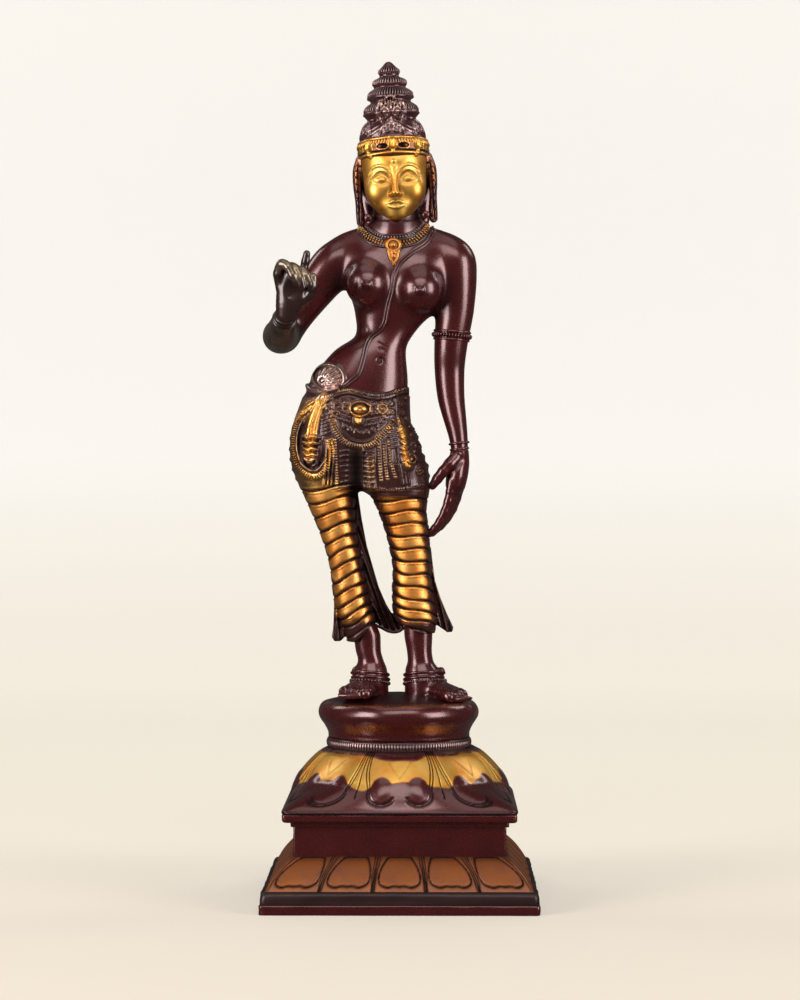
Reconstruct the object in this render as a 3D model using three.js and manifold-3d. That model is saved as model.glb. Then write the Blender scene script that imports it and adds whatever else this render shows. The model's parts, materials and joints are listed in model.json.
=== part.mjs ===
// A standing goddess in the three-bend pose, cast in brass in one with the round pad under her feet,
// on a square plinth with a lotus dome. Millimetres, +Z up, the front faces -Y, the origin is the
// centre of the plinth's underside.
import * as THREE from "three";
import { mergeVertices } from "three/addons/utils/BufferGeometryUtils.js";
import Module from "manifold-3d";

const wasm = await Module();
wasm.setup();

// Driving sizes of the plinth, from the ground up
const FOOT_WIDTH = 148.4;
const FOOT_HEIGHT = 5.2;
const ROLL_HEIGHT = 6.6;
const SKIRT_WIDTH = 142.4;
const SKIRT_HEIGHT = 17.2;
const SKIRT_BULGE = 1.6;
const BLOCK_WIDTH = 113.6;
const BLOCK_HEIGHT = 18.2;
const CORNICE_WIDTH = 125.0;
const CORNICE_HEIGHT = 4.2;
const UPPER_ROLL_HEIGHT = 6.0;
const DOME_RADIUS = 62.0;
const DOME_HEIGHT = 31.2;
const RING_RADIUS = 39.8;
const RING_HEIGHT = 5.2;
const RING_FLUTES = 20;
const DOME_PETALS = 8;
const SKIRT_PETALS = 5;
const PETAL_RELIEF = 0.7;
const CORNER_ROUND = 2.2;

// Driving sizes of the figure. Its pose, limbs and carving are drawn at DRAWN_HEIGHT and follow its height.
const PAD_RADIUS = 44.0;
const PAD_HEIGHT = 18.6;
const PAD_CROWNING = 6.0;
const FIGURE_HEIGHT = 347.6;
const DRAWN_HEIGHT = 347.6;
const DRAWN_PAD_TOP = 24.6;

// The plinth's courses from the ground up
const ROLL = FOOT_HEIGHT;
const SKIRT = ROLL + ROLL_HEIGHT;
const BLOCK = SKIRT + SKIRT_HEIGHT;
const CORNICE = BLOCK + BLOCK_HEIGHT;
const UPPER_ROLL = CORNICE + CORNICE_HEIGHT;
const RING = UPPER_ROLL + DOME_HEIGHT;
const PLINTH_HEIGHT = RING + RING_HEIGHT;

// A closed three.js geometry as a solid that can be joined and cut
function solid(geometry) {
  const bare = new THREE.BufferGeometry().setAttribute("position", geometry.getAttribute("position").clone());
  if (geometry.index) bare.setIndex(geometry.index);
  const merged = mergeVertices(bare, 1e-4);
  return new wasm.Manifold(
    new wasm.Mesh({
      numProp: 3,
      vertProperties: new Float32Array(merged.attributes.position.array),
      triVerts: new Uint32Array(merged.index.array),
    }),
  );
}

function geometryOf(manifold) {
  const mesh = manifold.getMesh();
  const geometry = new THREE.BufferGeometry();
  geometry.setAttribute("position", new THREE.BufferAttribute(new Float32Array(mesh.vertProperties), 3));
  geometry.setIndex(new THREE.BufferAttribute(new Uint32Array(mesh.triVerts), 1));
  geometry.computeVertexNormals();
  return geometry;
}

const joined = (pieces) => pieces.reduce((whole, piece) => whole.add(piece));

// Rings of points joined into one closed skin, with a fan to a middle point over each end
function skin(rings, tips = []) {
  const sides = rings[0].length;
  const points = rings.flat();
  const index = [];
  for (let r = 0; r + 1 < rings.length; r++) {
    for (let i = 0; i < sides; i++) {
      const a = r * sides + i;
      const b = r * sides + ((i + 1) % sides);
      index.push(a, b, b + sides, a, b + sides, a + sides);
    }
  }
  const middle = (ring) => ring.reduce((sum, p) => sum.add(p), new THREE.Vector3()).divideScalar(ring.length);
  const first = points.push(tips[0] ?? middle(rings[0])) - 1;
  const last = points.push(tips[1] ?? middle(rings.at(-1))) - 1;
  const lastRing = (rings.length - 1) * sides;
  for (let i = 0; i < sides; i++) {
    const next = (i + 1) % sides;
    index.push(first, next, i, last, lastRing + i, lastRing + next);
  }
  let volume = 0;
  for (let k = 0; k < index.length; k += 3) {
    const [p, q, s] = [points[index[k]], points[index[k + 1]], points[index[k + 2]]];
    volume += p.dot(new THREE.Vector3().crossVectors(q, s));
  }
  if (volume < 0) index.reverse();
  const geometry = new THREE.BufferGeometry().setFromPoints(points);
  geometry.setIndex(index);
  return solid(geometry);
}

// A smooth value, without overshoot, between rows sorted by their first number from high to low
function between(rows, at, column) {
  const order = rows.slice().reverse();
  const x = THREE.MathUtils.clamp(at, order[0][0], order.at(-1)[0]);
  let k = 0;
  while (k < order.length - 2 && order[k + 1][0] < x) k++;
  const slope = (i) => (order[i + 1][column] - order[i][column]) / (order[i + 1][0] - order[i][0]);
  const tangent = (i) => {
    if (i === 0) return slope(0);
    if (i === order.length - 1) return slope(i - 1);
    const [a, b] = [slope(i - 1), slope(i)];
    return a * b <= 0 ? 0 : (2 * a * b) / (a + b);
  };
  const span = order[k + 1][0] - order[k][0];
  const t = (x - order[k][0]) / span;
  const [t2, t3] = [t * t, t * t * t];
  return (
    (2 * t3 - 3 * t2 + 1) * order[k][column] +
    (t3 - 2 * t2 + t) * span * tangent(k) +
    (3 * t2 - 2 * t3) * order[k + 1][column] +
    (t3 - t2) * span * tangent(k + 1)
  );
}

// An upright mass drawn as level sections, a little squarer than an oval.
// Rows hold height, left, right, front and back, from high to low.
const SECTION_POWER = 2.25;
class Upright {
  constructor(rows) {
    this.rows = rows;
  }

  at(z) {
    const [left, right, front, back] = [1, 2, 3, 4].map((column) => between(this.rows, z, column));
    return { x: (left + right) / 2, half: (right - left) / 2, y: (front + back) / 2, deep: (back - front) / 2 };
  }

  // How far forward the surface lies at a place seen from the front
  frontAt(x, z) {
    const { x: middle, half, y, deep } = this.at(z);
    const across = Math.min(0.98, Math.abs((x - middle) / half));
    return y - deep * (1 - across ** SECTION_POWER) ** (1 / SECTION_POWER);
  }

  // A point on the front, lifted off the surface by a little
  onFront(x, z, lift = 0) {
    return new THREE.Vector3(x, this.frontAt(x, z) - lift, z);
  }

  // Levels hold height, swell, and lean, which is how far the ring rises toward +X
  solid(levels, sides) {
    const shaped = (v) => Math.sign(v) * Math.abs(v) ** (2 / SECTION_POWER);
    const rings = levels.map(([z, swell = 1, lean = 0]) => {
      const { x, half, y, deep } = this.at(z);
      return Array.from({ length: sides }, (_, i) => {
        const [c, s] = [Math.cos, Math.sin].map((f) => shaped(f((i / sides) * 2 * Math.PI)));
        return new THREE.Vector3(x + half * c * swell, y + deep * s * swell, z + lean * c);
      });
    });
    return skin(rings);
  }
}

const UP = new THREE.Vector3(0, 0, 1);
const RIGHT = new THREE.Vector3(1, 0, 0);
const BACK = new THREE.Vector3(0, 1, 0);

// A limb through stations of x, y, z, half width and half depth. The depth looks along facing.
function limb(stations, sides, facing = BACK) {
  const places = stations.map(([x, y, z]) => new THREE.Vector3(x, y, z));
  const alongAt = (i) =>
    new THREE.Vector3().subVectors(places[Math.min(i + 1, places.length - 1)], places[Math.max(i - 1, 0)]).normalize();
  const rings = stations.map(([, , , width, depth], i) => {
    const across = new THREE.Vector3().crossVectors(alongAt(i), facing).normalize();
    const deep = new THREE.Vector3().crossVectors(across, alongAt(i));
    return Array.from({ length: sides }, (_, k) => {
      const a = (k / sides) * 2 * Math.PI;
      const spoke = across.clone().multiplyScalar(width * Math.cos(a)).addScaledVector(deep, depth * Math.sin(a));
      return spoke.add(places[i]);
    });
  });
  const tip = (i, way) => places[i].clone().addScaledVector(alongAt(i), way * 0.7 * Math.min(stations[i][3], stations[i][4]));
  return skin(rings, [tip(0, -1), tip(places.length - 1, 1)]);
}

function ball(x, y, z, [rx, ry, rz], sides = 8) {
  const geometry = new THREE.SphereGeometry(1, sides, Math.ceil(sides * 0.5));
  return solid(geometry.rotateX(Math.PI / 2).scale(rx, ry, rz).translate(x, y, z));
}

// A band of flat oval section laid along points
function band(points, halfWidth, halfDepth, closed = false, spacing = 7) {
  const path = new THREE.CatmullRomCurve3(points, closed, "centripetal");
  const section = new THREE.Shape();
  section.absellipse(0, 0, halfDepth, halfWidth, 0, 2 * Math.PI);
  const steps = Math.max(3, Math.round(path.getLength() / spacing));
  return solid(new THREE.ExtrudeGeometry(section, { extrudePath: path, steps, curveSegments: 2 }));
}

function turned(profile, sides) {
  const points = profile.map(([r, z]) => new THREE.Vector2(r, z));
  return solid(new THREE.LatheGeometry(points, sides).rotateX(Math.PI / 2));
}

// The plinth

function roundedSlab(width, low, high) {
  const corner = width / 2 - CORNER_ROUND;
  const shape = new THREE.Shape();
  for (const [sx, sy, turn] of [[1, -1, -0.5], [1, 1, 0], [-1, 1, 0.5], [-1, -1, 1]]) {
    shape.absarc(sx * corner, sy * corner, CORNER_ROUND, turn * Math.PI, (turn + 0.5) * Math.PI);
  }
  const geometry = new THREE.ExtrudeGeometry(shape, { depth: high - low, bevelEnabled: false, curveSegments: 2 });
  return solid(geometry.translate(0, 0, low));
}

// A square moulding from rows of half width and height
function squareMoulding(rows) {
  const corners = [[1, -1], [1, 1], [-1, 1], [-1, -1]];
  return skin(rows.map(([half, z]) => corners.map(([sx, sy]) => new THREE.Vector3(sx * half, sy * half, z))));
}

// The flared skirt: each side is a row of petals with a furrow between neighbours and a bulging middle
function petalSkirt() {
  const side = [];
  for (let petal = 0; petal < SKIRT_PETALS; petal++) {
    for (const [share, relief] of [[0, petal ? -1 : 0], [0.14, 1], [0.5, 1.6], [0.86, 1]]) {
      side.push([-1 + (2 * (petal + share)) / SKIRT_PETALS, relief]);
    }
  }
  const rows = [[0, 0.3], [0.25, 1], [0.6, 1], [0.88, 0.8], [1, 0]];
  const rings = rows.map(([share, strength]) => {
    const half = THREE.MathUtils.lerp(SKIRT_WIDTH, BLOCK_WIDTH, share) / 2;
    const bulge = SKIRT_BULGE * Math.sin(Math.PI * share);
    const ring = [];
    for (let quarter = 0; quarter < 4; quarter++) {
      for (const [across, relief] of side) {
        const out = half + bulge + (Math.abs(across) === 1 ? 0 : (PETAL_RELIEF / 2) * relief * strength);
        const point = new THREE.Vector3(across * (half + bulge), -out, SKIRT + share * SKIRT_HEIGHT);
        ring.push(point.applyAxisAngle(UP, (quarter * Math.PI) / 2));
      }
    }
    return ring;
  });
  return skin(rings);
}

// The lotus dome: round, with two swelling lobes low on each petal and a furrow between petals
const DOME_PROFILE = [
  // share of the height, and how far out between the ring and the dome's full radius
  [0, 0.95], [0.1, 1], [0.24, 0.92], [0.46, 0.8], [0.66, 0.63], [0.85, 0.39], [1, 0],
];

function lotusDome() {
  const around = DOME_PETALS * 6;
  const rings = DOME_PROFILE.map(([share, out]) => {
    const radius = THREE.MathUtils.lerp(RING_RADIUS - 1, DOME_RADIUS, out);
    return Array.from({ length: around }, (_, i) => {
      const petal = i / 6;
      const lobe = Math.abs(Math.sin(2 * Math.PI * petal)) * Math.exp(-(((share - 0.3) / 0.16) ** 2));
      const furrow = i % 6 === 0 ? out : 0;
      const r = radius + PETAL_RELIEF * (1.3 * lobe - 1.2 * furrow);
      const a = ((petal + 0.5) / DOME_PETALS) * 2 * Math.PI;
      return new THREE.Vector3(r * Math.cos(a), r * Math.sin(a), UPPER_ROLL + share * DOME_HEIGHT);
    });
  });
  return skin(rings);
}

function flutedRing() {
  const rows = [[RING_RADIUS - 1.4, -1, 0], [RING_RADIUS, 0.5, 0.9], [RING_RADIUS - 1.2, 1, 0]];
  const rings = rows.map(([radius, share, flute]) =>
    Array.from({ length: RING_FLUTES * 2 }, (_, i) => {
      const a = (i * Math.PI) / RING_FLUTES;
      const r = radius - (i % 2) * flute;
      return new THREE.Vector3(r * Math.cos(a), r * Math.sin(a), RING + RING_HEIGHT * share);
    }),
  );
  return skin(rings);
}

// A square roll that swells a little between its slab and what stands on it
function squareRoll(width, low, height) {
  const half = width / 2;
  return squareMoulding([
    [half - 1.6, low - 0.5], [half - 0.7, low + height * 0.12], [half, low + height * 0.35],
    [half - 0.3, low + height * 0.65], [half - 2.4, low + height],
  ]);
}

function plinthSolid() {
  return joined([
    roundedSlab(FOOT_WIDTH, 0, FOOT_HEIGHT),
    squareRoll(FOOT_WIDTH - 0.4, ROLL, ROLL_HEIGHT + 0.1),
    petalSkirt(),
    squareMoulding([[BLOCK_WIDTH / 2, BLOCK - 1], [BLOCK_WIDTH / 2, CORNICE + 1]]),
    squareMoulding([
      [CORNICE_WIDTH / 2 - 1.4, CORNICE], [CORNICE_WIDTH / 2, CORNICE + CORNICE_HEIGHT * 0.4],
      [CORNICE_WIDTH / 2, UPPER_ROLL],
    ]),
    squareRoll(CORNICE_WIDTH - 1.6, UPPER_ROLL, UPPER_ROLL_HEIGHT + 0.3),
    lotusDome(),
    flutedRing(),
  ]);
}

// The figure, drawn with its height measured from the pad's underside

const TRUNK = new Upright([
  [292.0, -15.0, 10.4, -13.5, 10.5],
  [283.8, -16.6, 11.6, -13.5, 10.5],
  [281.5, -20.6, 15.5, -13, 11],
  [279.4, -27.4, 22.1, -12, 12],
  [276.2, -34.0, 28.6, -12, 13],
  [270.0, -38.6, 34.6, -13, 14.5],
  [258.4, -34.8, 29.4, -15, 16],
  [250.1, -30.4, 25.4, -16, 16.5],
  [241.8, -27.6, 22.6, -16, 16],
  [235.2, -25.7, 18.8, -15.5, 15],
  [229.6, -24.9, 13.8, -14.5, 13.5],
  [225.2, -24.3, 9.9, -13.5, 12],
  [220.8, -24.9, 6.6, -14, 12],
  [215.8, -32.2, 3.6, -15.5, 12.5],
  [212.5, -36.6, 2.8, -16.5, 13],
  [205.3, -43.1, 3.3, -18, 15],
  [196.0, -49.8, 4.0, -19.5, 18],
  [185.5, -53.8, 3.9, -20.5, 21.5],
  [175.5, -57.4, 4.2, -21, 24],
  [167.2, -60.3, 8.1, -21.5, 25.5],
  [156.7, -61.0, 11.6, -21.5, 25.5],
  [145.7, -59.1, 15.3, -20.5, 23],
  [134.7, -54.7, 16.0, -19, 20],
  [129.5, -52.5, 14.6, -18, 18.5],
]);

const RIGHT_LEG = new Upright([
  [150.0, -60.3, -24.5, -20.5, 22],
  [137.4, -55.8, -24.5, -18.5, 19],
  [124.7, -50.3, -24.5, -16.5, 16.5],
  [112.6, -45.3, -23.6, -14.5, 14],
  [101.0, -41.4, -21.8, -13.5, 12.5],
  [91.0, -39.2, -19.6, -12.5, 12],
  [80.5, -38.1, -17.6, -12, 13.5],
  [69.5, -36.4, -14.6, -11.5, 14],
  [61.0, -33.6, -12.2, -11, 13],
]);

const RIGHT_SHIN = new Upright([
  [66.0, -28.2, -11.8, -7.5, 10.5],
  [55.0, -26.0, -11.2, -7.2, 9.5],
  [47.4, -24.9, -11.0, -7, 9],
  [42.0, -23.7, -9.6, -7.2, 9.5],
  [36.9, -25.1, -7.7, -9, 11],
  [30.0, -26.2, -6.8, -11.5, 12.5],
  [22.0, -26.2, -6.8, -11.5, 12.5],
]);

const LEFT_LEG = new Upright([
  [150.0, -18.5, 14.6, -20.5, 22],
  [137.4, -18.5, 16.2, -19, 19.5],
  [124.7, -13.3, 14.6, -17, 17],
  [113.7, -9.4, 16.0, -15, 14.5],
  [102.6, -6.6, 16.6, -13.8, 13],
  [91.6, -5.0, 17.1, -12.8, 12.5],
  [80.5, -5.4, 18.2, -12.3, 14],
  [69.5, -5.2, 19.9, -12, 14.5],
  [62.0, -2.4, 20.2, -11.5, 13],
]);

const LEFT_SHIN = new Upright([
  [66.0, 1.4, 17.6, -7.5, 10.5],
  [55.0, 2.0, 17.4, -7.2, 9.5],
  [47.4, 3.3, 17.1, -7, 9],
  [42.0, 3.8, 17.8, -7.2, 9.5],
  [36.4, 2.5, 21.0, -9, 11],
  [30.0, 2.2, 23.0, -11.5, 11.5],
  [22.0, 2.2, 23.0, -11.5, 11.5],
]);

const BELT_LOW = 172;
const BELT_HIGH = 189;
const BELT_SWELL = 1.03;
const LEG_FOLDS = 10;

function trunkSolid() {
  const below = [132, 138, 146, 156, 165, BELT_LOW - 0.5].map((z) => [z]);
  const belt = [[BELT_LOW + 1, BELT_SWELL], [BELT_HIGH - 1, BELT_SWELL], [BELT_HIGH + 0.5]];
  const above = [198, 208, 216, 222, 230, 240, 250, 260, 268, 275, 279.5, 283, 291].map((z) => [z]);
  return [
    TRUNK.solid([...below, ...belt, ...above], 16),
    ball(-17.9, -13.5, 251, [11.8, 11, 13.4], 10),
    ball(9.8, -13.5, 247, [11.8, 11, 13.4], 10),
  ];
}

// Cloth gathered round a leg: each fold swells, then drops into a crease, and the creases lean
function foldLevels(high, low, leanHigh, leanLow) {
  const levels = [];
  for (let i = 0; i <= LEG_FOLDS - 0.5; i += 0.5) {
    const share = i / LEG_FOLDS;
    const lean = THREE.MathUtils.lerp(leanHigh, leanLow, share);
    levels.push([THREE.MathUtils.lerp(high, low, share), i % 1 ? 1.03 : 0.955, lean]);
  }
  levels.push([low, 0.95, leanLow]);
  return levels;
}

function legs() {
  const shin = [[66], [55], [47], [42], [36.5], [35.5, 1.12], [31, 1.12], [30], [23]];
  return [
    RIGHT_LEG.solid(foldLevels(135, 61, 2.4, 5.2), 10),
    LEFT_LEG.solid(foldLevels(135, 62, 0.4, -4.2), 10),
    RIGHT_SHIN.solid(shin, 8),
    LEFT_SHIN.solid(shin, 8),
  ];
}

// A flat hanging piece of cloth: an outline of x and z, its front and its thickness
function cloth(outline, front, thickness) {
  const shape = new THREE.Shape(outline.map(([x, z]) => new THREE.Vector2(x, z)));
  const geometry = new THREE.ExtrudeGeometry(shape, { depth: thickness, bevelEnabled: false });
  return solid(geometry.rotateX(Math.PI / 2).translate(0, front + thickness, 0));
}

function drapery() {
  const betweenLegs = [
    [-40, 136], [-23.7, 134], [-21.5, 119], [-18.8, 105], [-12.2, 82], [-5.2, 68], [1.5, 62.5], [1.5, 57.6],
    [-6.6, 58.2], [-15, 64], [-28, 64],
  ];
  const flyingHem = [[10, 100], [17.1, 97], [18.8, 86], [25, 68.5], [29, 58.6], [26.4, 57.6], [17, 63]];
  const outerCorner = [[-30, 76], [-37.2, 74], [-37.4, 54.6], [-33.5, 52.2], [-28, 62]];
  return [cloth(betweenLegs, 1, 5.5), cloth(flyingHem, 0, 5), cloth(outerCorner, -4, 7)];
}

// A cloth end or tassel that hangs down the front: rows of x, z and half width
function hanging(rows, depth) {
  return limb(rows.map(([x, z, width]) => [...TRUNK.onFront(x, z, depth / 2).toArray(), width, depth]), 6);
}

const laid = (places, lift) => places.map(([x, z]) => TRUNK.onFront(x, z, lift));

// The buckle, swags, loops and tassels that hang from the belt
function hipOrnaments() {
  const swag = [[-38.7, 174], [-33, 164.8], [-23.5, 160], [-14.5, 161.6], [-7.5, 167], [-3.5, 170]];
  const hipLoop = [
    [-57, 174], [-58.2, 163], [-57.2, 153.5], [-52.4, 146.2], [-46.5, 144], [-41.4, 149], [-38.8, 159],
    [-38.6, 165],
  ];
  const cord = [[-1.6, 189], [-1, 178], [-0.2, 160], [2.8, 151.4], [7.8, 150.5]];
  const crescent = [[-23.2, 198], [-28.2, 194.5], [-37, 190.2], [-48.6, 192.2]];
  return [
    ball(-22.1, TRUNK.frontAt(-22.1, 180.5) - 1, 180.5, [5.6, 2, 3.8]),
    ball(-40, TRUNK.frontAt(-40, 197) + 1.6, 197, [7.6, 4.4, 7.8]),
    band(laid(swag, 0.6), 2.1, 1.6),
    band(laid(hipLoop, 0.4), 1.9, 1.6),
    band(laid(cord, 0.4), 1.4, 1.4),
    band(laid(crescent, 0.4), 2, 1.7),
    hanging([[-41.6, 185.5, 2.2], [-47.4, 173, 4], [-51.8, 161, 4.6], [-52.6, 155.5, 3]], 2.4),
    hanging([[-0.6, 184, 1.6], [2, 166, 2.8], [4.4, 157, 2.8], [5.4, 152.5, 1.8]], 2.4),
  ];
}

function sacredThread() {
  const places = [
    [17.6, 277.5], [8.3, 266.6], [-0.6, 259], [-4.4, 245], [-8.2, 230], [-10.4, 224.6], [-19.2, 213], [-23, 199.4],
  ];
  return band(laid(places, 0.5), 1.4, 1.4, false, 9);
}

// A collar round the root of the neck that dips in front, and its pendant
function necklace() {
  const collar = [];
  for (let i = 0; i < 12; i++) {
    const a = (i / 12) * 2 * Math.PI;
    const dip = 11 * Math.max(0, -Math.sin(a)) ** 1.4;
    collar.push(new THREE.Vector3(-2.6 + 19.6 * Math.cos(a), -1.5 + 14.4 * Math.sin(a), 283 - dip));
  }
  return [
    band(collar, 2.6, 1.8, true, 9),
    limb([[-3.4, -15.6, 270.5, 4.4, 2], [-3.4, -16.4, 265, 3.4, 2], [-3.2, -17, 259, 1.2, 1.4]], 6),
  ];
}

function rightArm() {
  const upper = [
    [-33.4, 1, 264.5, 11, 11.6], [-42.2, 1, 253.4, 12, 11.6], [-50.3, 1.5, 242.8, 11, 10.5],
    [-56.6, 2.5, 234, 9.9, 9.8], [-61.4, 2.5, 226.6, 9.4, 9.4], [-64.6, 0, 221.4, 9.2, 9],
  ];
  const fore = [
    [-64.9, 3, 220.8, 9.2, 9.2], [-64.8, -12, 221.8, 9.1, 9.1], [-63.8, -25, 225, 7.8, 7.8],
    [-62.4, -34.5, 228.4, 6.5, 6.3], [-62.3, -34.9, 228.6, 7.1, 6.9], [-61.4, -38.6, 230, 6.9, 6.8],
    [-61.3, -39, 230.3, 5.8, 5.6],
  ];
  const palm = [[-60.8, -38.5, 231, 5.8, 5.2], [-58.6, -41.5, 239, 8.2, 4.6], [-57.2, -42, 249, 9.8, 4]];
  const fingers = [
    [[-64.2, -41, 246, 2.9], [-63.8, -44, 256.4, 2.8], [-59.6, -48, 254, 2.5], [-55.4, -48.6, 246.4, 2]],
    [[-58.8, -41.5, 249, 2.8], [-57.2, -44, 255, 2.7], [-53.4, -48, 251.6, 2.4], [-51.2, -48.4, 245.2, 1.8]],
    [[-53.4, -41.5, 249, 2.7], [-51.8, -44.5, 253.4, 2.6], [-48.6, -47, 250, 2.3], [-47.2, -47.2, 245.4, 1.8]],
    [[-52.6, -41, 248, 2.6], [-51.4, -41, 256, 2.4], [-50.2, -41.5, 262.4, 1.9]],
    [[-50.6, -41, 238.6, 3.2], [-46.8, -44, 242.6, 2.8], [-47, -46.4, 249, 2.1]],
  ];
  return [
    limb(upper, 10),
    limb(fore, 10, UP),
    limb(palm, 8),
    ...fingers.map((rows) => limb(rows.map(([x, y, z, r]) => [x, y, z, r, r]), 5, RIGHT)),
  ];
}

function leftArm() {
  const arm = [
    [27.4, 1.5, 270.4, 9.6, 9], [28.8, 1.6, 265.5, 13, 12], [29.5, 1.8, 259, 13.2, 12.2], [30.6, 2.2, 248, 11.4, 11.2],
    [30.6, 2.6, 240, 10.6, 10.6], [28.8, 3, 228, 10.6, 10],
    [28.1, 3.2, 223.4, 10, 9.8], [28, 3.2, 222.8, 11.8, 11.4], [27.8, 3.5, 218.8, 11.8, 11.4],
    [27.6, 3.6, 218.2, 9.2, 9.5], [27, 5, 203, 8.6, 8.6], [27.6, 4.4, 188, 7.9, 8], [29.5, 3, 177, 6.9, 7.2],
    [32, 1.3, 164, 5.5, 6.2], [32.1, 1.3, 163.4, 6.2, 6.9], [32.4, 1, 159, 6, 6.8], [32.4, 1, 158.4, 5.1, 6],
    [32.2, 0.6, 152, 5, 8], [31.6, 0, 145, 4.2, 9.2], [30.4, 0, 139, 3.3, 8.8],
  ];
  const fingers = [
    [[30.8, -5.4, 142, 2.8], [27.8, -5.4, 132, 2.7], [24.4, -4.8, 123.4, 2.6], [20.6, -4.4, 117.4, 2.4], [17.6, -4, 113.4, 1.9]],
    [[31.4, -1.2, 142, 2.8], [28.8, -1.2, 132, 2.7], [25.8, -1.2, 123.4, 2.5], [22.4, -1.2, 117, 2.3], [19.6, -1.2, 114, 1.8]],
    [[31.6, 3.2, 142, 2.7], [29.4, 3.2, 133, 2.6], [26.8, 3.2, 125, 2.4], [24.2, 3.2, 119, 1.8]],
    [[31.4, 7, 143, 2.5], [29.8, 7, 136, 2.4], [27.8, 7, 129.6, 2.2], [26.2, 7, 125, 1.6]],
    [[31.4, -5, 154, 3.3], [26.2, -7.5, 148.6, 2.9], [22, -7.5, 143.8, 2.6], [17.8, -6.5, 138.4, 2.2]],
  ];
  return [limb(arm, 10), ...fingers.map((rows) => limb(rows.map(([x, y, z, r]) => [x, y, z, r, r]), 5))];
}

// A bare foot from heel to toes. The great toe is on the side that inner points to.
function foot(heel, toes, ballHalf, inner) {
  const side = new THREE.Vector3().subVectors(toes, heel).cross(UP).setLength(inner);
  const station = (share, up, across, high) => {
    const place = new THREE.Vector3().lerpVectors(heel, toes, share);
    return [place.x, place.y, place.z + up, across, high];
  };
  const sole = [station(0.05, 3.4, 6.6, 6.2), station(0.4, 3.6, 7.2, 6.4), station(0.72, 1.8, ballHalf, 4.8), station(0.9, 0.4, ballHalf, 3.6)];
  const pieces = [limb(sole, 8, UP)];
  for (let i = 0; i < 5; i++) {
    const across = THREE.MathUtils.lerp(0.82, -0.82, i / 4) * ballHalf;
    const thick = i === 0 ? 2.6 : 1.9;
    const root = station(0.8, 0.4, thick, thick);
    const tip = station(1.02 - 0.035 * i, -0.6, thick, thick);
    const moved = [root, tip].map(([x, y, z, ...rest]) => [x + side.x * across, y + side.y * across, z, ...rest]);
    pieces.push(limb(moved, 5, UP));
  }
  return pieces;
}

function feet() {
  return [
    ...foot(new THREE.Vector3(-16.6, 9, 27), new THREE.Vector3(-24.6, -28, 26), 8, -1),
    ...foot(new THREE.Vector3(9.8, 9, 27), new THREE.Vector3(31, -19, 23.8), 8, 1),
  ];
}

// The head in its own frame: the origin is its middle, then it tilts and goes to its place
const HEAD_PLACE = [-2.8, -1.5, 306.5];
const HEAD_TILT_DEG = -2.6;
const HEAD = new Upright([
  [14.0, -18.2, 18.2, -17.6, 18.0],
  [8.0, -18.8, 18.8, -18.6, 21.0],
  [-2.0, -18.0, 18.0, -18.6, 22.0],
  [-10.0, -15.8, 15.8, -18.2, 19.0],
  [-16.0, -12.4, 12.4, -17.8, 14.0],
  [-20.5, -8.0, 8.0, -17.0, 8.0],
  [-22.6, -3.6, 3.6, -14.5, 4.0],
]);

// The tiered crown: tiers of height, waist and rim, each a waist under a swelling rim
const CROWN_TOP = 65.6;
const CROWN_TIERS = [
  // where the tier starts, its waist, its rim, and its height
  [30.8, 13, 15.2, 9],
  [41.4, 10.8, 13, 7.4],
  [50.2, 8, 9.6, 6],
  [57.2, 4.5, 6.1, 7],
];

function crown() {
  const profile = [[0, 12.4], [19.4, 12.4], [18.4, 20], [16.6, 27.6]];
  for (const [low, waist, rim, height] of CROWN_TIERS) {
    profile.push([waist, low], [rim, low + height * 0.5]);
  }
  profile.push([2.6, CROWN_TOP - 2.2], [0, CROWN_TOP]);
  return turned(profile, 14);
}

function head() {
  const browLine = [-17, -9, 0, 9, 17].map((x) => HEAD.onFront(x, 12, 0.6).setZ(17 - (x * x) / 90));
  const pieces = [
    HEAD.solid([14, 8, 2, -5, -11, -16.5, -20.5, -22.6].map((z) => [z]), 14),
    crown(),
    limb([[0, -18.6, 5, 1.4, 1.4], [0, -20.8, -6, 2.4, 2.2]], 6),
    ball(0, -18.6, -14.6, [3.8, 1.8, 1.9], 6),
    band(browLine, 3.4, 1.8, false, 9),
    limb([[0, -19.2, 20, 4.4, 1.8], [0, -19.6, 28, 7.6, 2], [0, -15.6, 39, 2, 2]], 8),
  ];
  for (const side of [-1, 1]) {
    pieces.push(
      ball(side * 7.6, -17, 1.4, [4.2, 2.2, 2.2], 6),
      limb([[side * 17.4, 1, 13, 3.2, 5], [side * 18, 0, -4, 3.6, 4.4], [side * 17, -1, -21, 4.2, 3.4]], 6),
    );
  }
  const place = new THREE.Matrix4().makeRotationY(THREE.MathUtils.degToRad(HEAD_TILT_DEG)).setPosition(...HEAD_PLACE);
  return joined(pieces).transform(place.elements);
}

function padSolid() {
  const rows = [
    [0, 0], [0.866, 0], [0.885, 0.3], [0.955, 0.6], [1, 0.84], [0.95, 1],
  ];
  const profile = rows.map(([r, h]) => [PAD_RADIUS * r, PAD_HEIGHT * h]);
  profile.push([PAD_RADIUS * 0.75, PAD_HEIGHT + PAD_CROWNING * 0.6], [0, PAD_HEIGHT + PAD_CROWNING]);
  return turned(profile, 28);
}

// Everything above the pad follows the figure's height, and the pad keeps its own sizes
function figureSolid() {
  const body = joined([
    ...trunkSolid(),
    ...legs(),
    ...drapery(),
    ...hipOrnaments(),
    sacredThread(),
    ...necklace(),
    ...rightArm(),
    ...leftArm(),
    ...feet(),
    head(),
  ]);
  const scale = FIGURE_HEIGHT / DRAWN_HEIGHT;
  const lift = PAD_HEIGHT + PAD_CROWNING - DRAWN_PAD_TOP * scale;
  return body.scale([scale, scale, scale]).translate([0, 0, lift]).add(padSolid());
}

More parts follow.
